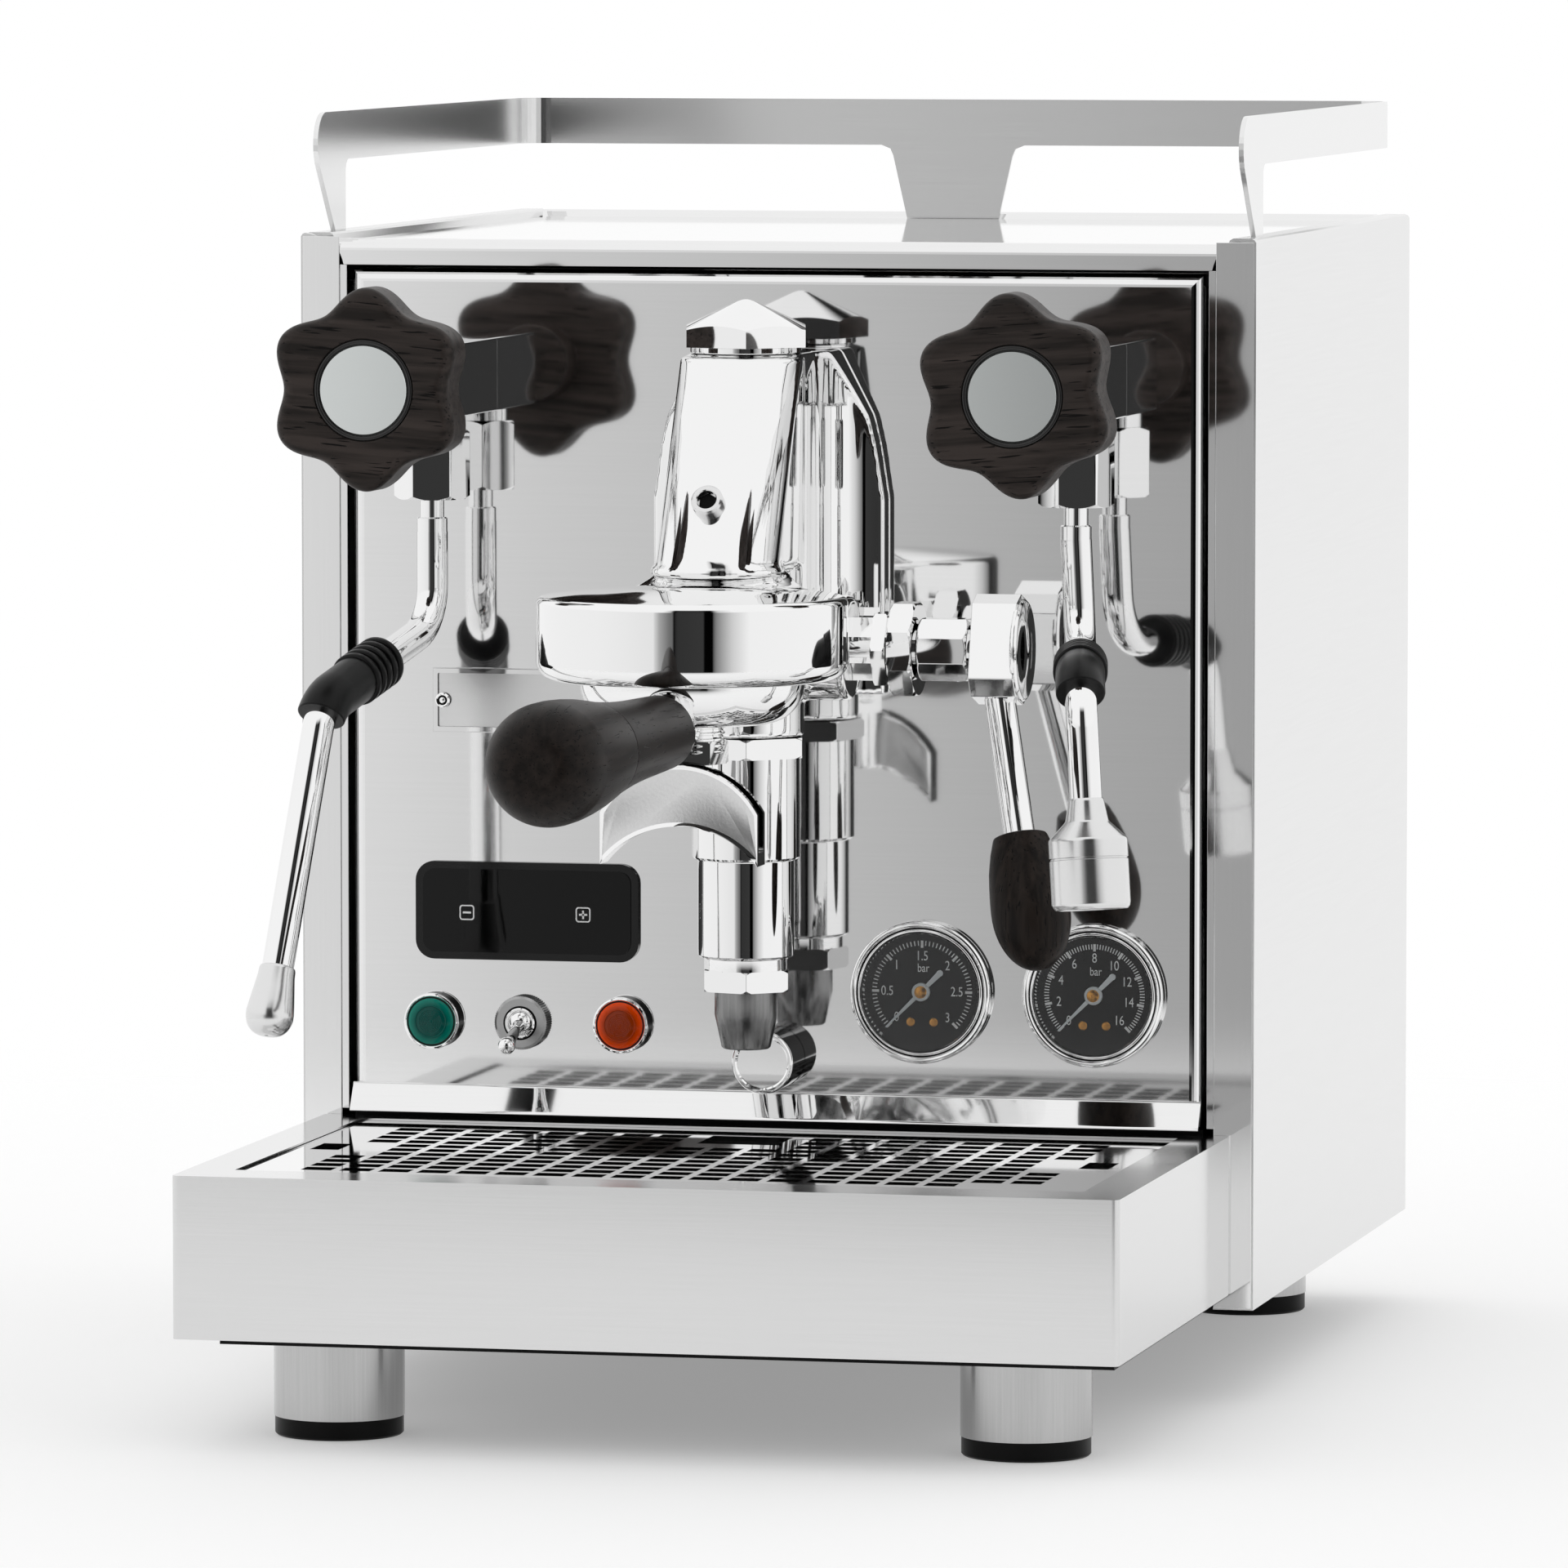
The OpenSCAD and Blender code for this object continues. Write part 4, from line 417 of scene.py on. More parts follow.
def plate(outline, depth):
    """A flat outline in mm in the XY plane, given depth along +Z."""
    shape = bmesh.new()
    face = shape.faces.new([shape.verts.new((x / 1000, y / 1000, 0)) for x, y in outline])
    face.normal_update()
    bmesh.ops.triangulate(shape, faces=[face], ngon_method="EAR_CLIP")
    grown = bmesh.ops.extrude_face_region(shape, geom=shape.faces[:])["geom"]
    bmesh.ops.translate(shape, vec=(0, 0, depth / 1000),
                        verts=[g for g in grown if isinstance(g, bmesh.types.BMVert)])
    bmesh.ops.recalc_face_normals(shape, faces=shape.faces)
    return shape


def sawn(shape, point, outwards):
    """Saws off what lies beyond a plane through a point in mm, and closes the cut."""
    cut = bmesh.ops.bisect_plane(shape, geom=shape.verts[:] + shape.edges[:] + shape.faces[:],
                                 dist=1e-7, plane_co=Vector(point) / 1000, plane_no=outwards,
                                 clear_outer=True)
    rim = [g for g in cut["geom_cut"] if isinstance(g, bmesh.types.BMEdge) and g.is_boundary]
    if rim:
        bmesh.ops.holes_fill(shape, edges=rim, sides=0)
    return shape


def milled(shape, flats, across, turn):
    """Mills flats round a turned solid, across mm apart, so that its chamfers stay on corners."""
    for number in range(flats):
        angle = math.radians(turn + 360 * number / flats)
        out = Vector((math.cos(angle), math.sin(angle), 0))
        sawn(shape, out * across / 2, out)
    return shape


def aimed(start, end):
    """Turns +Z to point from one place to another, both in mm from the panel's plane."""
    way = (Vector(end) - Vector(start)).to_track_quat("Z", "Y").to_matrix().to_4x4()
    return upright(*start) @ way


def spun(degrees, axis):
    """A turn round one axis."""
    return Matrix.Rotation(math.radians(degrees), 4, axis)


LEVER_Y, LEVER_Z = -32.5, 231.9  # the lever's axis

# the leaning tube and the column under one skin
TUBE_FOOT = Vector((0, -77, 257))
TUBE_TOP = Vector((0, -43, 320))
tube_up = (TUBE_TOP - TUBE_FOOT).normalized()
skin = bmesh.new()
UP = Vector((0, 0, 1))
for radius, middle, way in (
        (17.7, Vector((0, -38, 252)), UP), (17.7, Vector((0, -38, 320.5)), UP),
        (18.5, TUBE_FOOT - tube_up * 6, tube_up), (18.5, TUBE_TOP + tube_up * 2, tube_up)):
    tilt = way.to_track_quat("Z", "Y").to_matrix().to_4x4()
    bmesh.ops.create_circle(skin, segments=144, radius=radius / 1000,
                            matrix=Matrix.Translation(middle / 1000) @ tilt)
bmesh.ops.convex_hull(skin, input=skin.verts)
bmesh.ops.delete(skin, geom=[v for v in skin.verts if not v.link_faces], context="VERTS")
bmesh.ops.delete(skin, geom=[e for e in skin.edges if not e.link_faces], context="EDGES")
bmesh.ops.recalc_face_normals(skin, faces=skin.faces)
sawn(skin, (0, 0, 258), (0, 0, -1))
sawn(skin, (0, 0, 320.6), (0, 0, 1))

# the flange's section has a fillet on each side, and its face narrows towards the top
half = [(17.7, -38), (18.2, -26)] + arc((36, -26), 17.8, 180, 90, 16)[1:] + [(37.3, -8), (37.3, 0)]
flange = plate(half + [(-x, y) for x, y in reversed(half)], 105.5)
bmesh.ops.translate(flange, vec=(0, 0, 0.216), verts=flange.verts)
for low, high in zip([(36.3, 216), (36.3, 276), (34, 291), (31.7, 301)],
                     [(36.3, 276), (34, 291), (31.7, 301), (21, 321.5)]):
    for side in (-1, 1):
        sawn(flange, (side * low[0], 0, low[1]), (side * (high[1] - low[1]), 0, low[0] - high[0]))

# the bell's top rises towards the column, under a sloping cut
flare = turned([(0, 251.4), (33, 251.4), (27, 252.7), (23, 255), (19.5, 258.8), (0, 258.8)])
bmesh.ops.translate(flare, vec=(0, 0.0465, 0), verts=flare.verts)
milled(flare, 72, 91.4, 0)
slope = math.radians(11.5)
sawn(flare, (0, 13, 252), (0, -math.sin(slope), math.cos(slope)))

link = plate([(-14, -70.5), (14, -70.5), (14, -38), (-14, -38)], 26)
# Chrome on hand-ground castings: the same mirror, but its bands waver.
cast_chrome = chrome("chromed casting", "F2F2F2", 0.03, 14, 0.03)
casting = piece("group_casting", [
    (turned([(0, 205), (17.3, 205), (17.7, 205.4), (17.7, 320.2), (16.9, 321.5), (0, 321.5)], 144),
     upright(0, -38)),
    (skin, upright(0, 0)),
    (flange, upright(0, 0)),
    (turned([(0, 0), (14, 0), (15.6, 4), (18.8, 4.8), (20, 5.9), (20, 7.2), (19, 8.2), (0, 8.2)],
            144), upright(0, -77, 251)),
    (flare, BELL),
    (link, upright(0, 0, 231)),
    (turned([(0, 0), (16, 0), (16, 51.2), (15.2, 52), (0, 52)], 144),
     upright(-20, LEVER_Y, LEVER_Z) @ spun(90, "Y")),
], cast_chrome, "case", "group_body")
casting.modifiers.clear()
joined = casting.modifiers.new("one casting", "REMESH")
joined.mode = "VOXEL"
joined.voxel_size = 0.0008
joined.use_smooth_shade = True
ground = casting.modifiers.new("ground by hand", "SMOOTH")
ground.factor = 0.5
ground.iterations = 9

# --------------------------------------
# The cap, the port screw and the infusion chamber: turned brass, milled to hexagons for a
# spanner, chromed, and screwed into the casting from above, in front and below.
# --------------------------------------
COLUMN = upright(0, -38)
cap = turned([(0, 323.4), (21.2, 323.4), (21.2, 328.5), (17, 330.45), (2.4, 337.2)]
             + arc((0, 332.6), 5.1, 63, 90, 6), 144)
piece("group_cap_nut", [
    (milled(cap, 6, 36, -47), COLUMN),
    (turned([(0, 321.5), (16.6, 321.5), (16.9, 321.8), (16.9, 323.2), (16.6, 323.5), (0, 323.5)]),
     COLUMN)], turned_chrome, "case", "group_cap", sharp=20)

screw_way = Vector((0, -tube_up.z, tube_up.y))
screw_seat = TUBE_FOOT + tube_up * 13.6 + screw_way * 18.6
screw_place = aimed(screw_seat, screw_seat + screw_way)
# Satin nickel plate: pale, and what it mirrors has soft edges.
satin_nickel = metal("satin nickel plate", "E4E4E4", 0.2, 0.5, 0.0015, "", 0.06)
piece("port_plug", [(turned(
    [(0, -1), (4.85, -1), (4.85, 3.5), (4.2, 4.2), (3.2, 4.2), (2.9, 3.9), (2.9, 1.5), (0, 1.5)],
    72), screw_place)], satin_nickel, "case", "port_screw")
# Painted shade: black pieces set at the bottom of a socket or a gap, where hardly any light comes
# back out, stand in for the shade there.
painted_recess_shade = coat("painted recess shade", "050505", 0.5, 0.5, 0.002, 1.2)
# a black hex of painted shade at the bottom of the port screw's socket
piece("port_socket_shade", [(milled(turned([(0, 1.4), (2.88, 1.4), (2.88, 2.2), (0, 2.2)], 24), 6, 4.9,
                              0), screw_place)], painted_recess_shade, "case")

hexes = [milled(turned([(0, low), (across * 0.545, low), (across * 0.575, low + 0.8),
                        (across * 0.575, high - 0.8), (across * 0.545, high), (0, high)]),
                6, across, -47)
         for across, low, high in ((34, 198.8, 205), (25.5, 127.5, 134))]
piece("exhaust_chamber", [(hexes[0], COLUMN), (hexes[1], COLUMN), (turned(
    [(0, 199), (16.4, 199), (16.4, 168.4), (15.9, 167.8), (14.9, 167.6), (14.7, 167.2),
     (14.7, 138.4), (14.1, 137.8), (13, 137.6), (12.8, 137.2), (12.8, 133.8), (0, 133.8)]),
    COLUMN)], turned_chrome, "case", "infusion_chamber")
# Plated brass tube with its drawing marks left on: grey with darker upright streaks.
drawn_brass = metal("plated brass with drawing marks", "A2A2A2", 0.25, 0.9, 0.012, "Z", 0.6)
piece("exhaust_nozzle", [(turned(
    [(0, 128), (9.7, 128), (9.7, 120.1), (7.5, 110.2), (6.9, 109.6), (3.4, 109.6), (3, 110),
     (3, 126), (0, 126)]), COLUMN)], drawn_brass, "case", edge_mm=0.2)

# --------------------------------------
# The brew lever: gland nuts on the casting's boss, a cam shaft, a hub with a domed end, and a
# rod screwed into the hub. All of it is turned or milled brass, chromed.
# --------------------------------------
LEVER_OUT, LEVER_FORWARD = 11.9, 15.6  # how far the rod leans, in degrees
LEVER_AXIS = upright(0, LEVER_Y, LEVER_Z) @ spun(90, "Y")
round_nut = milled(turned([(6.2, 45.3), (14.4, 45.3), (15.6, 46.3), (15.6, 51.4), (14.0, 52.6),
                           (6.2, 52.6)], closed=True), 8, 28, 0)
piece("gland_nuts", [
    (milled(turned([(6.2, 32), (10.4, 32), (10.4, 46), (6.2, 46)], closed=True), 8, 19.2, 0),
     LEVER_AXIS),
    (milled(turned([(6.2, 39.8), (12, 39.8), (12.6, 40.3), (12.6, 43.6), (12, 44.1), (6.2, 44.1)],
                   closed=True), 6, 21.8, 0), LEVER_AXIS),
    (round_nut, LEVER_AXIS)], turned_chrome, "case", "shaft_nut", edge_mm=0.25)
piece("lever_shaft", [
    (turned([(0, -13), (6, -13), (6, 78), (0, 78)]), LEVER_AXIS),
    (milled(turned([(0, 53.2), (8.9, 53.2), (10.5, 54.6), (10.5, 67.6), (8.9, 69), (0, 69)]),
            8, 18.75, 0), LEVER_AXIS)], turned_chrome, "lever", "cam_shaft", edge_mm=0.2)
hub_section = [(12, 11.6), (6, 15.9), (-6, 15.9), (-12, 11.6), (-12, -11.6), (-6, -15.9),
               (6, -15.9), (12, -11.6)]
piece("lever_boss", [
    (plate(hub_section, 14), upright(70.6, LEVER_Y, LEVER_Z + 0.2) @ spun(-LEVER_FORWARD, "X")
     @ spun(90, "Z") @ spun(90, "X")),
    (turned([(0, 83.5), (15.2, 83.5), (15.6, 84), (15.6, 85), (14.8, 85.7)]
            + arc((0, 30), 56.5, 80.6, 90, 8)), LEVER_AXIS)],
      turned_chrome, "lever", "lever_hub", edge_mm=0.9)


def on_lever(drop):
    """A point on the lever's line, in mm, at a height below its axis."""
    return Vector((75.4 + drop * math.tan(math.radians(LEVER_OUT)),
                   LEVER_Y - drop * math.tan(math.radians(LEVER_FORWARD)), LEVER_Z - drop))


ROD = aimed(on_lever(14.5), on_lever(60))
piece("lever_bar", [(turned([(0, -5.9), (4.75, -5.9), (4.75, 48), (0, 48)]), ROD)],
      turned_chrome, "lever", "lever_rod")

# --------------------------------------
# The lever's grip: smoked oak, turned on a lathe, sanded round and oiled. It is bored and pushed
# onto the end of the rod.
# --------------------------------------


def wood(name, along, dark, pale, turn=(0, 0, 0)):
    """Smoked oak with its grain along one axis of the piece: slow streaks and short open pores."""
    made, tree, place = new_material(name)
    turned_place = add(tree, "Mapping", {"Vector": place, "Rotation": turn})
    stretch = [0.06 if axis == along else 1.0 for axis in "XYZ"]
    lengthways = add(tree, "Mapping", {"Vector": turned_place.outputs[0], "Scale": stretch})
    # growth rings seen edge on, about 3 mm apart
    streaks = add(tree, "TexNoise", {"Vector": lengthways.outputs[0], "Scale": 330.0,
                                     "Detail": 4.0, "Distortion": 0.4})
    tone = add(tree, "ValToRGB", {"Fac": streaks.outputs["Fac"]},
               [(0.35, dark), (0.65, pale)])
    # vessels cut open along the grain, 0.4 mm wide and a few mm long
    pores = add(tree, "TexNoise", {"Vector": lengthways.outputs[0], "Scale": 1300.0,
                                   "Detail": 1.0})
    open_pores = add(tree, "MapRange", {"Value": pores.outputs["Fac"], "From Min": 0.65,
                                        "From Max": 0.7})
    colour = add(tree, "Mix", {"Factor": open_pores.outputs[0], "A": tone.outputs[0],
                               "B": linear("0B0807")}, data_type="RGBA")
    relief = add(tree, "Bump", {"Height": open_pores.outputs[0], "Distance": 0.0003},
                 invert=True)
    surface = add(tree, "BsdfPrincipled", {"Base Color": colour.outputs["Result"],
                                           "Roughness": 0.4, "IOR": 1.22,
                                           "Normal": relief.outputs[0]})
    add(tree, "OutputMaterial", {"Surface": surface.outputs[0]})
    return made


# Oak smoked almost black, and oiled: thin brown streaks, dark pores and a low shine.
grip_wood = wood("smoked oak grip", "Z", "120E0C", "2C2521")
piece("lever_handle", [(turned(
    [(0, 42.9), (7.4, 42.9), (8.1, 43.2), (8.4, 43.8), (9.0, 45.7), (9.7, 47.9), (10.4, 51),
     (11, 53.9), (11.4, 57.4), (11.75, 61), (11.95, 64)]
    + oval((0, 66.7), 12, 18, range(0, 90, 5)) + [(0, 84.7)]), ROD)],
      grip_wood, "lever", "lever_grip")

# --------------------------------------
# The portafilter: a turned and chromed brass bowl with two ears and a neck, which holds a steel
# basket. A wooden handle is screwed on behind a ferrule, and a cast double spout under the bowl.
# --------------------------------------
bowl = oval((22, 227.1), 11.7, -13, range(90, -1, -5))
ears = turned([(33.5, 231.6), (40, 231.6), (40, 236.3), (33.5, 236.3)], 12, True, 24.4)
ears_behind = ears.copy()
HANDLE = (upright(0, BELL_Y, 213.9) @ spun(-91, "Z") @ spun(90, "Y")
          @ Matrix.Translation((0, 0, 0.0405)))
piece("portafilter_bowl", [
    (turned([(0, 214.1)] + bowl + [(34.2, 227.4), (34.5, 228.1), (34.5, 236.2), (30.4, 236.2),
                                   (30.4, 227.1), (27.6, 220.6), (20, 216.6), (0, 216.6)], 144),
     BELL),
    (ears, BELL @ spun(-12.2, "Z")),
    (ears_behind, BELL @ spun(167.8, "Z")),
    (turned([(0, -22.5), (7, -22.5), (9.6, -4), (9.8, -3.6), (10.4, -3.2), (10.6, -2.9),
             (10.6, -0.4), (10.3, 0), (0, 0)]), HANDLE)],
      turned_chrome, "portafilter", "portafilter_body")
finish(turned_chrome, "basket")
# The same oak from a darker board.
handle_wood = wood("smoked oak handle", "Y", "130F0D", "241E1B")
piece("portafilter_grip", [(turned(
    [(0, 0), (10.6, 0), (11, 0.2), (11.2, 0.6), (11.6, 17), (12, 34), (12.4, 44), (12.9, 54),
     (13.8, 67), (14.7, 78.6), (14.6, 79.1), (14.4, 79.4), (14.4, 79.8), (14.7, 80.1),
     (15, 80.8), (15.9, 89), (16.8, 98), (17.5, 108), (17.85, 116)]
    + oval((5.728, 124), 12.172, 17.5, range(0, 90, 6)) + [(5.7, 141.5), (0, 141.5)], 144),
    HANDLE)],
      handle_wood, "portafilter", "portafilter_handle")


def bow(height, radius):
    """An arch over the spout's full width, 48 mm, round a height in mm."""
    start = math.degrees(math.acos(24 / radius))
    return arc((0, height), radius, start, 180 - start, 32)


def upright_plate(outline, depth, front):
    """An outline in the panel's plane, given depth back from a distance in front of the panel."""
    return plate(outline, depth), upright(0, depth - front) @ spun(90, "X")


under = bow(153.9, 30.6)[::-1]
walls = [upright_plate(bow(175.3, 27.3) + under, 1.9, front) for front in (127, 118.9)]
for (wall, place), way in zip(walls, (1, -1)):
    level = max(vert.co.z * way for vert in wall.verts)
    face = [f for f in wall.faces if all(abs(v.co.z * way - level) < 1e-6 for v in f.verts)]
    bmesh.ops.inset_region(wall, faces=face, thickness=0.0012, depth=-0.0006)
    for part in face:
        part.material_index = 1
# Chrome over a face left as it came from the mould: grains about 1 mm across catch the light.
rough_cast = metal("rough chromed casting", "E2E2E2", 0.38, 1.0, 0.05, "", 0.12)
thread = ([(0, 203)] + [p for z in (205.2, 207, 208.8, 210.6, 212.4) for p in (
    (9.3, z), (9.8, z + 0.5), (9.8, z + 0.9), (9.3, z + 1.4))] + [(0, 214.1)])
piece("twin_spout", walls + [
    upright_plate(bow(153.9, 33.2) + under, 6.4, 125.2),
    (turned([(0, 184.5), (8.2, 184.5), (9, 185.3), (9, 203.5), (0, 203.5)]), BELL),
    (turned(thread), BELL),
    (milled(turned([(0, 202), (10.2, 202), (10.8, 202.7), (10.8, 208.3), (10.2, 209), (0, 209)]),
            6, 18.6, 43), BELL),
    (plate([(-7, 6.5), (7, 6.5), (7, 0), (-7, 0)], 15), upright(0, -116.5, 186))],
      [cast_chrome, rough_cast], "portafilter", "double_spout", edge_mm=0.3)

# --------------------------------------
# The valves: square brass blocks on the panel with a turned bonnet in front, a stub below, and
# a union nut that holds each wand. Their knobs are oak with six lobes, each with a metal face.
# --------------------------------------
VALVE_X, VALVE_Z = 98.8, 312.5
WAND_X, WAND_Y = 100.5, -30


def rounded_outline(width, height, radius, steps=8):
    """An outline of a rectangle with round corners, in mm."""
    x, y = width / 2 - radius, height / 2 - radius
    return [p for cx, cy, start in ((x, y, 0), (-x, y, 90), (-x, -y, 180), (x, -y, 270))
            for p in arc((cx, cy), radius, start, start + 90, steps)]


def facing(x, z, out=0):
    """A place on the front panel in mm, with +Z out towards the user and +Y up."""
    return upright(x, -out, z) @ spun(90, "X")


blocks = []
for side in (-1, 1):
    place = facing(side * VALVE_X, VALVE_Z)
    blocks += [
        (plate(rounded_outline(22.6, 22.6, 1.2, 5), 48), place),
        (turned([(0, 47), (9.5, 47), (9.5, 57.4), (8.9, 58), (0, 58)]), place),
        (turned([(0, 297), (8.6, 297), (8.6, 302), (0, 302)]), upright(side * WAND_X, WAND_Y))]
piece("valve_bodies", blocks, turned_chrome, "case", "valve_blocks", edge_mm=0.4)
piece("union_nuts", [
    (milled(turned([(0, 275.5), (10.2, 275.5), (11.6, 276.6), (11.6, 295.9), (10.2, 297),
                    (0, 297)]), 6, 20.3, -17), upright(side * WAND_X, WAND_Y)) for side in (-1, 1)],
      turned_chrome, "case", "valve_nuts", edge_mm=0.35)


def lobed(turn):
    """A knob with six lobes: an outline drawn out through rounded edges, a hub, and a seat."""
    shape = bmesh.new()
    # inset of the outline from its full size and height, in mm; a radius where the ring is round
    rounding = arc((4, 4), 4, 270, 180, 7) + arc((4, 16), 4, 180, 90, 7)
    rings = [(12.5, 0, True)] + [(inset, height, False) for inset, height in rounding]
    rings += [(15.9, 20, True), (15.5, 19.9, True), (15.3, 19.6, True), (15.3, 18.4, True)]
    loop = bmesh.ops.create_circle(shape, segments=180, radius=0.012)["verts"]
    edges = shape.edges[:]

    def shaped(verts, size, height, is_round):
        for vert in verts:
            angle = math.atan2(vert.co.y, vert.co.x)
            lobe = 30.5 - 5.2 * (0.5 - 0.5 * math.cos(6 * (angle - math.pi / 2)))
            radius = (size if is_round else lobe - size) / 1000
            vert.co = (radius * math.cos(angle), radius * math.sin(angle), height / 1000)

    shaped(loop, *rings[0])
    first = edges
    for ring in rings[1:]:
        loop, edges = drawn(shape, edges)
        shaped(loop, *ring)
    bmesh.ops.holes_fill(shape, edges=edges, sides=0)
    bmesh.ops.holes_fill(shape, edges=first, sides=0)
    bmesh.ops.recalc_face_normals(shape, faces=shape.faces)
    bmesh.ops.rotate(shape, verts=shape.verts, cent=(0, 0, 0),
                     matrix=Matrix.Rotation(math.radians(turn), 3, "Z"))
    return shape


# The faces are satin aluminium, pale and almost a mirror, in a groove of shiny black lacquer. The
# knobs' oak is smoked less than the handles', and its grain runs across them.
disc_metal = metal("satin aluminium", "D9DDDC", 0.09, 0.5, 0.0003, "X", 0.02)
black_lacquer = coat("black lacquer", "0A0808", 0.3, 1.0, 0.002)
for side, turn, name in ((-1, 0, "steam"), (1, 5, "water")):
    place = facing(side * VALVE_X, VALVE_Z, 98)
    knob_wood = wood(f"smoked oak {name} knob", "X", "221E1C", "3E3734",
                     (0, math.radians(4 * side), 0))
    piece(f"{name}_knob_wood", [
        (lobed(turn), place),
        (turned([(0, -12), (11.4, -12), (12, -11.4), (12, -0.6), (12.6, 0), (0, 0)]), place)],
          knob_wood, f"{name}_knob", f"{name}_knob", sharp=50)
    piece(f"{name}_knob_groove", [(turned(
        [(0, 18.2), (15.25, 18.2), (15.25, 19.3)] + arc((14.5, 19.3), 0.7, 0, 180, 6)
        + [(13.7, 19.3), (13.7, 18.6), (0, 18.6)]), place)],
          black_lacquer, f"{name}_knob", sharp=60)
    piece(f"{name}_knob_face", [(turned(
        [(0, 18.5), (13.6, 18.5), (13.6, 19.4), (13.2, 19.8), (0, 19.85)]), place)],
          disc_metal, f"{name}_knob", f"{name}_knob_disc")
    piece(f"{name}_spindle", [(turned([(0, 18), (5, 18), (5, 109), (0, 109)]),
                               facing(side * VALVE_X, VALVE_Z))],
          turned_chrome, f"{name}_knob", f"{name}_stem")

# --------------------------------------
# The wands: chromed brass tube bent on a former, with a ribbed rubber sleeve to hold, a steam
# tip at the left and a water nozzle with an aerator at the right.
# --------------------------------------


def bent(route, radius, bend, part=1.0):
    """A round bar along a route in mm, bent at its inner points; part of the last bend only."""
    points = [Vector(p) / 1000 for p in route]
    runs = [(b - a).normalized() for a, b in zip(points, points[1:])]
    shape = bmesh.new()
    way = runs[0].to_track_quat("Z", "Y").to_matrix().to_4x4()
    loop = bmesh.ops.create_circle(shape, segments=48, radius=radius / 1000,
                                   matrix=Matrix.Translation(points[0]) @ way)["verts"]
    edges = shape.edges[:]
    first, here = edges, points[0]
    for number, run in enumerate(runs):
        corner = points[number + 1]
        last = number == len(runs) - 1
        turn = 0 if last else run.angle(runs[number + 1])
        if last and part < 1:
            break
        start_of_bend = corner - run * bend / 1000 * math.tan(turn / 2)
        loop, edges = drawn(shape, edges)
        bmesh.ops.translate(shape, verts=loop, vec=start_of_bend - here)
        here = start_of_bend
        if not last:
            after = runs[number + 1]
            share = part if number == len(runs) - 2 else 1.0
            middle = here + (after - run * run.dot(after)).normalized() * bend / 1000
            step = Matrix.Rotation(turn * share / 10, 3, run.cross(after))
            for _ in range(10):
                loop, edges = drawn(shape, edges)
                bmesh.ops.rotate(shape, verts=loop, cent=middle, matrix=step)
            here = middle + Matrix.Rotation(turn * share, 3, run.cross(after)) @ (here - middle)
    bmesh.ops.holes_fill(shape, edges=edges, sides=0)
    bmesh.ops.holes_fill(shape, edges=first, sides=0)
    bmesh.ops.recalc_face_normals(shape, faces=shape.faces)
    return shape


def swung(side, turn, points):
    """Points of a wand in an upright plane through its swivel, from outward and height in mm."""
    turn = math.radians(turn)
    return [Vector((side * (WAND_X + out * math.sin(turn)), WAND_Y - out * math.cos(turn), height))
            for out, height in points]


STEAM_TURN, WATER_TURN = 13.5, 12.4  # how far each wand is swung outwards, in degrees
steam_route = swung(-1, STEAM_TURN, [(0, 265.5), (0, 237), (70.5, 217), (98.5, 140)])
water_route = (swung(1, WATER_TURN, [(0, 265.5)]) + [Vector((102.1, WAND_Y, 231))]
               + swung(1, WATER_TURN, [(69.6, 227)]) + [Vector((118, -101.5, 193))])
# Moulded rubber with more shine than the feet, so that its ribs show as thin pale lines.
sleeve_rubber = coat("moulded rubber sleeve", "060606", 0.35, 0.5, 0.01, 1.3)
HERE = upright(0, 0)
for name, side, route, inset, part in (("steam", -1, steam_route, 34.5, 0.7),
                                       ("water", 1, water_route, 27, 0.5)):
    piece(f"{name}_tube", [
        (bent(route, 4.8, 16), HERE),
        (turned([(0, 265.5), (4.7, 265.5), (4.7, 269.6), (4.3, 270), (3.7, 270), (3.7, 292),
                 (0, 292)], 64), upright(side * WAND_X, WAND_Y))],
          turned_chrome, f"{name}_wand", f"{name}_wand")
    run = (route[2] - route[1]).normalized()
    start = route[1] + run * inset
    ribs = [(turned([(7, -0.3), (7.9, -0.1), (8.2, 0.3), (8.2, 1.7), (7.9, 2.1), (7, 2.3)], 64,
                    True), aimed(start + run * (0.5 + 3.6 * i), route[2])) for i in range(5)]
    piece(f"{name}_sleeve", [(bent([start, route[2], route[3]], 7.4, 16, part), HERE)] + ribs,
          sleeve_rubber, f"{name}_wand", f"{name}_grip", edge_mm=0.5, sharp=60)
STEAM_END = aimed(steam_route[3], 2 * steam_route[3] - steam_route[2])
piece("steam_nose", [(turned(
    [(0, 0), (4.9, 0), (5.3, 0.3), (5.5, 1), (5.6, 3), (6.2, 7), (6.8, 11), (7.2, 14)]
    + oval((2, 15), 5.2, 6.2, range(5, 90, 8))
    + [(2, 21.2), (0.6, 21.2), (0.5, 20), (0, 20)]), STEAM_END)],
      satin_nickel, "steam_wand", "steam_tip")
WATER_END = aimed(water_route[3], 2 * water_route[3] - water_route[2])
piece("water_outlet", [(turned(
    [(0, 0), (5, 0), (5.3, 0.4), (5.4, 1), (6.4, 6.6), (6.9, 7.3), (11.3, 11.7), (11.7, 12.2),
     (11.8, 12.8), (11.8, 17.5), (11.45, 17.8), (11.45, 18.1), (11.8, 18.4), (11.8, 31.2),
     (11.5, 32.2), (10.8, 33), (10, 33), (9.6, 32.6), (9.6, 29), (0, 29)]), WATER_END)],
      satin_nickel, "water_wand", "water_nozzle")

# --------------------------------------
# The temperature display: a black glass window in a moulded frame, clipped into the panel, with
# two touch keys printed in white on the back of the glass.
# --------------------------------------
# Black glass: flat black under a sharp, weak mirror.
black_glass = coat("black glass", "020202", 0.03, 5, 0.0, 1.33)
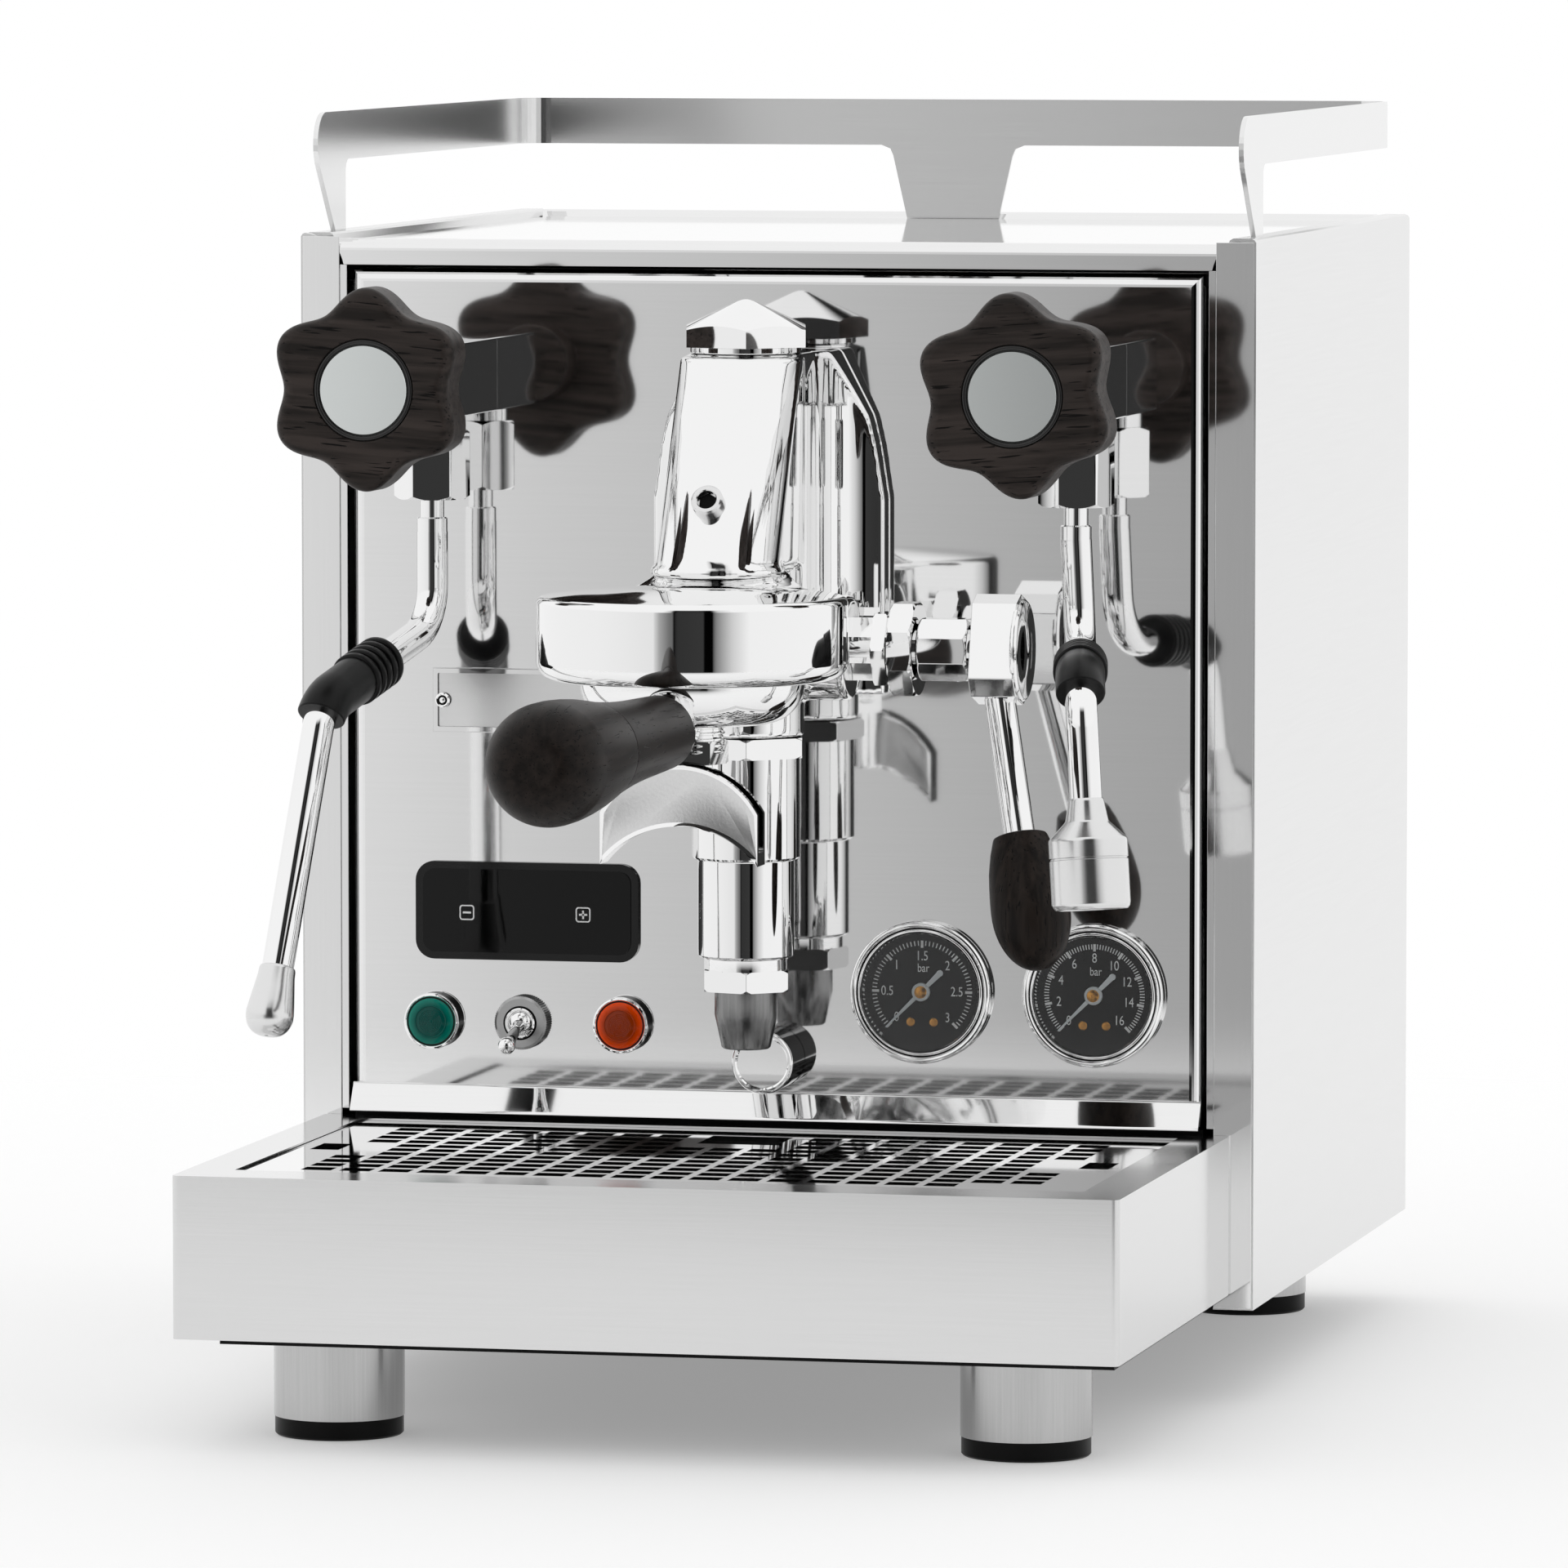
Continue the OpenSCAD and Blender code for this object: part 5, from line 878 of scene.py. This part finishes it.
# Moulded ABS: black, with a brighter, softer shine on its rounded edge.
black_plastic = coat("black moulded plastic", "040404", 0.15, 0.6, 0.002, 1.4)
DISPLAY = -78, 146.6
frame_edge = plate(rounded_outline(71, 30.4, 6), 1.6)
piece("display_surround", [(frame_edge, facing(*DISPLAY))], black_plastic, "case",
      "display_frame", edge_mm=0.9)
piece("display_glass", [(plate(rounded_outline(66.2, 25.8, 3.8), 1.0), facing(*DISPLAY, 1.0))],
      black_glass, "case", "display_window", edge_mm=0.35)

# Print on glass: flat white, with next to no shine.
white_print = coat("white print", "FAFAFA", 0.5, 0.6, 0.0, 1.5, 0.03)


def band(outline, inner):
    """A flat band of print or polish between two outlines of as many points."""
    shape = bmesh.new()
    loops = [[shape.verts.new((x / 1000, y / 1000, 0)) for x, y in points]
             for points in (outline, inner)]
    rims = [shape.edges.new((loop[i - 1], loop[i])) for loop in loops for i in range(len(loop))]
    bmesh.ops.bridge_loops(shape, edges=rims)
    bmesh.ops.recalc_face_normals(shape, faces=shape.faces)
    for face in shape.faces:
        if face.normal.z < 0:
            face.normal_flip()
    return shape


def stroke(x, y, width, height):
    """A printed stroke: a flat rectangle round a point, in mm."""
    shape = bmesh.new()
    bmesh.ops.create_grid(shape, x_segments=1, y_segments=1, size=0.5)
    bmesh.ops.scale(shape, vec=(width / 1000, height / 1000, 1), verts=shape.verts)
    bmesh.ops.translate(shape, vec=(x / 1000, y / 1000, 0), verts=shape.verts)
    return shape


keys = []
for x, strokes in ((-97, [(2.6, 0.6)]), (-60, [(2.6, 0.6), (0.6, 2.6)])):
    place = facing(x, 146, 2.03)
    keys += [(band(rounded_outline(4.7, 4.7, 0.9, 4), rounded_outline(3.9, 3.9, 0.6, 4)), place)]
    keys += [(stroke(0, 0, width, height), place) for width, height in strokes]
piece("display_keys", keys, white_print, "case")

# --------------------------------------
# The badge: a bare plate of ground stainless sheet with a polished border round it. A rivet at
# its left end holds it to the front panel.
# --------------------------------------
piece("badge_border", [
    (band(rounded_outline(59.4, 19.4, 0.6, 3), rounded_outline(56.6, 16.6, 0.4, 3)),
     facing(-78, 211.8, 1.43))], mirror_sheet, "case")
RIVET = facing(-104.7, 211.7, 1.4)
piece("badge_rivet", [(turned(
    [(0, 0), (2.3, 0), (2.3, 0.4), (1.9, 0.7), (1.55, 0.6), (1.5, 0.1), (1.0, 0.1), (0.9, 0.6),
     (0.6, 0.8), (0, 0.85)], 48), RIVET)], turned_chrome, "case")
# a black ring of painted shade in the rivet's groove
piece("badge_rivet_shade", [
    (turned([(0.95, 0.05), (1.52, 0.05), (1.52, 0.42), (0.95, 0.42)], 48, True), RIVET)],
      painted_recess_shade, "case")

# --------------------------------------
# The pilot lamps: moulded lenses with concentric ribs, in thin chromed bezels on black collars,
# snapped into the panel.
# --------------------------------------


def lens_with_painted_glow(name, middle, rim, x, z):
    """Tinted acrylic round a place in mm, with its colour painted brighter towards its rim as a
    painted glow.
    """
    made, tree, place = new_material(name)
    centred = add(tree, "Mapping", {"Vector": place, "Location": (-x / 1000, 0, -z / 1000)})
    flat = add(tree, "VectorMath", {0: centred.outputs[0], 1: (1, 0, 1)}, operation="MULTIPLY")
    out = add(tree, "VectorMath", {0: flat.outputs[0]}, operation="LENGTH")
    # the rim's brighter colour is painted light, a painted glow, not the acrylic's own tint
    edge = add(tree, "MapRange", {"Value": out.outputs["Value"], "From Min": 0.0045,
                                  "From Max": 0.0068})
    tone = add(tree, "Mix", {"Factor": edge.outputs[0], "A": linear(middle), "B": linear(rim)},
               data_type="RGBA")
    surface = add(tree, "BsdfPrincipled", {"Base Color": tone.outputs["Result"],
                                           "Roughness": 0.1, "IOR": 1.3})
    add(tree, "OutputMaterial", {"Surface": surface.outputs[0]})
    return made


LAMP_Z = 112.2
# Moulded nylon: black, a little duller than the display's frame.
black_collar = coat("black collar", "060606", 0.3, 0.6, 0.002, 1.3)
lens_ribs = [(0, 2.5), (0.35, 2.5)] + [p for r in (0.7, 1.15, 1.6, 2.05, 2.5, 2.95, 3.4)
                                       for p in ((r, 2.42), (r + 0.2, 2.55))]
lens_profile = lens_ribs + [(3.9, 2.5), (4.6, 2.4), (4.75, 2.62), (5.0, 2.62), (5.15, 2.35),
                            (6.2, 2.2), (6.9, 1.9), (7.5, 1.2), (7.5, -1), (0, -1)]
# the second colour of each lens is the painted glow at its rim
for name, x, middle, rim in (("green", -107.9, "01544C", "058573"),
                             ("orange", -47.7, "A03603", "FF5003")):
    place = facing(x, LAMP_Z)
    piece(f"{name}_lamp_collar", [(turned([(0, 0), (8.6, 0), (8.6, 4.2), (8.2, 4.6), (0, 4.6)]),
                                   place)], black_collar, "case")
    piece(f"{name}_lamp_ring", [(turned(
        [(7.5, 3), (8.5, 3), (8.75, 3.6), (8.75, 4.3), (8.5, 4.8), (8.05, 5.0), (7.7, 4.8),
         (7.5, 4.4)], 96, True), place)],
          turned_chrome, "case", "lamp_bezels")
    piece(f"{name}_lamp_lens", [(turned(lens_profile), place @ Matrix.Translation((0, 0, 0.003)))],
          lens_with_painted_glow(f"{name} acrylic", middle, rim, x, LAMP_Z), "case",
          f"{name}_lens")

# --------------------------------------
# The toggle switch: a chromed bat lever in a threaded bushing, which a knurled ring nut holds to
# the panel. The nut is brass, plated with nickel.
# --------------------------------------
SWITCH = facing(-79.6, LAMP_Z)
knurl = turned([(0, 0), (8.4, 0), (8.4, 3.4), (7.5, 4.1), (4.9, 4.1), (4.7, 3.9), (4.6, 2.4),
                (0, 2.4)], 144)
for number, vert in enumerate(sorted(
        (v for v in knurl.verts if v.co.xy.length > 0.00835),
        key=lambda v: (round(math.atan2(v.co.y, v.co.x), 4), v.co.z))):
    if number // 2 % 2:
        vert.co.xy *= 0.965
# Dull nickel plate: grey, and its knurls catch the light one by one.
dull_nickel = metal("dull nickel plate", "B9B9B9", 0.28, 0.5, 0.002, "", 0.15)
piece("switch_ring", [
    (knurl, SWITCH), (turned([(0, -12), (6, -12), (6, 0), (0, 0)]), SWITCH)],
      dull_nickel, "case", "switch_bushing")
piece("switch_collar", [
    (turned([(3.4, 2), (4.7, 2), (4.7, 4.5), (4.4, 4.8), (4.0, 4.8), (3.4, 3.9)], 96, True),
     SWITCH)], turned_chrome, "case")
# black of painted shade at the bottom of the switch's well and in the gap round its bushing
piece("switch_well_shade", [(turned([(0, 2.0), (3.45, 2.0), (3.45, 2.9), (0, 2.9)]), SWITCH),
                      (turned([(4.6, 2), (5.3, 2), (5.3, 4.16), (4.6, 4.16)], 96, True), SWITCH)],
      painted_recess_shade, "case")
BAT = upright(-79.6, -3.5, LAMP_Z) @ spun(107, "X")
piece("switch_bat", [(turned(
    [(0, -2.9), (2.6, -2.9), (3.4, -2.2), (4, -1.2), (4, 0.2), (3.2, 1.6), (2.0, 2.4), (1.6, 4),
     (1.6, 6), (1.7, 11), (1.9, 14), (2.3, 16)] + arc((0, 18.3), 2.7, -25, 90, 12)), BAT)],
      turned_chrome, "switch", "switch_lever")

# --------------------------------------
# The pressure gauges: chromed bezels with a rolled lip round an inner ring, black dials printed
# in pale grey, brass screws and hubs, enamelled needles, and a flat glass.
# --------------------------------------
GAUGE_Z = 124.4
DIAL_START, DIAL_SWEEP = 225, 270  # where the scale starts and how far it goes round, in degrees
# Matt black paint under flat pale print, glossier enamel on the needles, and warm yellow brass.
dial_paint = coat("dial paint", "060607", 0.6, 0.4, 0.001, 1.2)
dial_print = coat("dial print", "FBFDFD", 0.5, 0.6, 0.0, 1.5, 0.02)
needle_paint = coat("needle enamel", "E8EFF1", 0.35, 0.5, 0.0, 1.5, 0.02)
dial_brass = metal("turned brass", "B9863F", 0.25, 0.4, 0.001, "Y", 0.1)
bezel_profile = ([(18.6, -30), (19.4, -30), (19.4, 0), (21.7, 0), (22, 0.3), (22, 2.6)]
                 + arc((20.9, 3.3), 1.1, -10, 150, 12)
                 + [(19.85, 3.4), (19.8, 3.0), (19.6, 3.2)] + arc((18.9, 3.4), 0.7, 30, 150, 8)
                 + [(18.0, 2.9), (17.5, 1.6), (17.4, 0.9), (17.4, 0.1), (18.6, 0)])


def printed(text, x, y, height):
    """Printed figures as flat mesh, centred on a place in mm, in a narrow upright face."""
    curve = bpy.data.curves.new("print", "FONT")
    curve.body = text
    curve.size = height / 1000 * 1.42
    curve.align_x = "CENTER"
    curve.align_y = "CENTER"
    written = bpy.data.objects.new("print", curve)
    flat = bpy.data.meshes.new_from_object(written)
    bpy.data.objects.remove(written)
    shape = bmesh.new()
    shape.from_mesh(flat)
    bmesh.ops.scale(shape, vec=(0.78, 1, 1), verts=shape.verts)
    bmesh.ops.translate(shape, vec=(x / 1000, y / 1000, 0), verts=shape.verts)
    return shape


for name, x, top, step in (("boiler", 46.7, 3, 0.5), ("pump", 100.6, 16, 2)):
    place = facing(x, GAUGE_Z)
    print_place = facing(x, GAUGE_Z, 0.23)
    marks, count = [], round(top / step)
    for number in range(count * 10 + 1):
        way = spun(DIAL_START - DIAL_SWEEP * number / (count * 10), "Z")
        long = number % 10 == 0
        marks.append((stroke(14.6 if long else 14.9, 0, 2.2 if long else 1.5,
                             0.8 if long else 0.34), print_place @ way))
    for number in range(count + 1):
        angle = math.radians(DIAL_START - DIAL_SWEEP * number / count)
        value = f"{number * step:g}"
        out = 11.3 if len(value) == 1 else 10.9
        marks.append((printed(value, out * math.cos(angle), out * math.sin(angle), 2.95),
                      print_place))
    marks.append((printed("bar", 0.4, 7.2, 2.6), print_place))
    piece(f"{name}_gauge_print", marks, dial_print, "case")
    piece(f"{name}_gauge_bezel", [(turned(bezel_profile, 144, True), place),
                                  (turned([(0, -30), (18.7, -30), (18.7, -28), (0, -28)]), place)],
          turned_chrome, "case", "gauge_cases")
    # a black ring of painted shade in the groove of the bezel's lip
    piece(f"{name}_bezel_groove_shade", [(turned(
        [(19.4, 2.7), (20.05, 2.7), (20.05, 3.5), (19.4, 3.5)], 144, True), place)],
          painted_recess_shade, "case")
    piece(f"{name}_gauge_dial", [(turned([(0, -1), (18.4, -1), (18.4, 0.2), (0, 0.2)]), place)],
          dial_paint, "case", "gauge_dials")
    screws = [(turned([(0, 0), (1.4, 0), (1.4, 0.4), (1.1, 0.7), (0.5, 0.75), (0.4, 0.5), (0, 0.5)],
                      32), place @ Matrix.Translation((side * 0.0036, -0.0094, 0.0002)))
              for side in (-1, 1)]
    piece(f"{name}_dial_screws", screws, dial_brass, "case")
    hand = place @ spun(DIAL_START, "Z")
    pointer = plate([(2.6, 0.62), (15.6, 0.22), (15.6, -0.22), (2.6, -0.62), (-2.6, -0.62)]
                    + arc((-8.3, 0), 1.0, 300, 60, 14) + [(-2.6, 0.62)], 0.5)
    piece(f"{name}_needle_arm", [
        (pointer, hand @ Matrix.Translation((0, 0, 0.0015))),
        (turned([(0, -0.9), (1, -0.9), (1, 1.1), (2.7, 1.1), (2.8, 1.3), (2.8, 2.3), (2.5, 2.6),
                 (0, 2.6)], 48), place)], needle_paint, f"{name}_needle",
        f"{name}_needle")
    piece(f"{name}_needle_hub", [(turned(
        [(0, 2.5), (1.9, 2.5), (1.9, 2.8), (1.6, 3.0), (0.5, 3.05), (0.4, 2.8), (0, 2.8)], 48),
        place)], dial_brass, f"{name}_needle")

# Flat window glass, 1.2 mm thick: clear, with a faint mirror of the studio on it.
clear_glass, tree, place = new_material("clear glass")
surface = add(tree, "BsdfPrincipled", {"Base Color": (1, 1, 1, 1), "Roughness": 0.0,
                                       "Transmission Weight": 1.0, "IOR": 1.45})
add(tree, "OutputMaterial", {"Surface": surface.outputs[0]})
finish(clear_glass, "gauge_glasses")

# --------------------------------------
# The drain stub: a turned brass stub through the front panel over the drip tray. Its plug closes
# it, and both are chromed.
# --------------------------------------
piece("drain_plug", [(turned(
    [(0, -14), (9.75, -14), (9.75, 15.8), (9.4, 16.6), (9, 17), (8.4, 17), (7.9, 16.6),
     (7.8, 16.2), (0, 16.2)]), facing(0, 103))], turned_chrome, "case", "drain_stub")

# --------------------------------------
# The power inlet: a socket for a mains lead, moulded in the same black plastic as the display's
# frame and clipped into the rear panel.
# --------------------------------------
finish(black_plastic, "power_inlet")

# --------------------------------------
# Inside the case: a boiler of copper sheet, a vibration pump, a water tank and a control box. They
# have plain finishes, because they show only when the case is open.
# --------------------------------------
# Bright copper, brushed: warm, with a soft shine.
copper = metal("copper sheet", "C88A66", 0.3, 0.7, 0.002, "X", 0.1)
finish(copper, "boiler")
# The tank is pale, milky plastic, and the box and the pump are dark and mid grey.
tank_plastic = coat("tank plastic", "C9D2D6", 0.3, 1.0, 0.001)
finish(tank_plastic, "water_tank")
box_plastic = coat("box plastic", "2A2C2E", 0.5, 1.0, 0.005)
finish(box_plastic, "control_box")
pump_plastic = coat("pump plastic", "5A5D60", 0.5, 1.0, 0.005)
finish(pump_plastic, "pump")
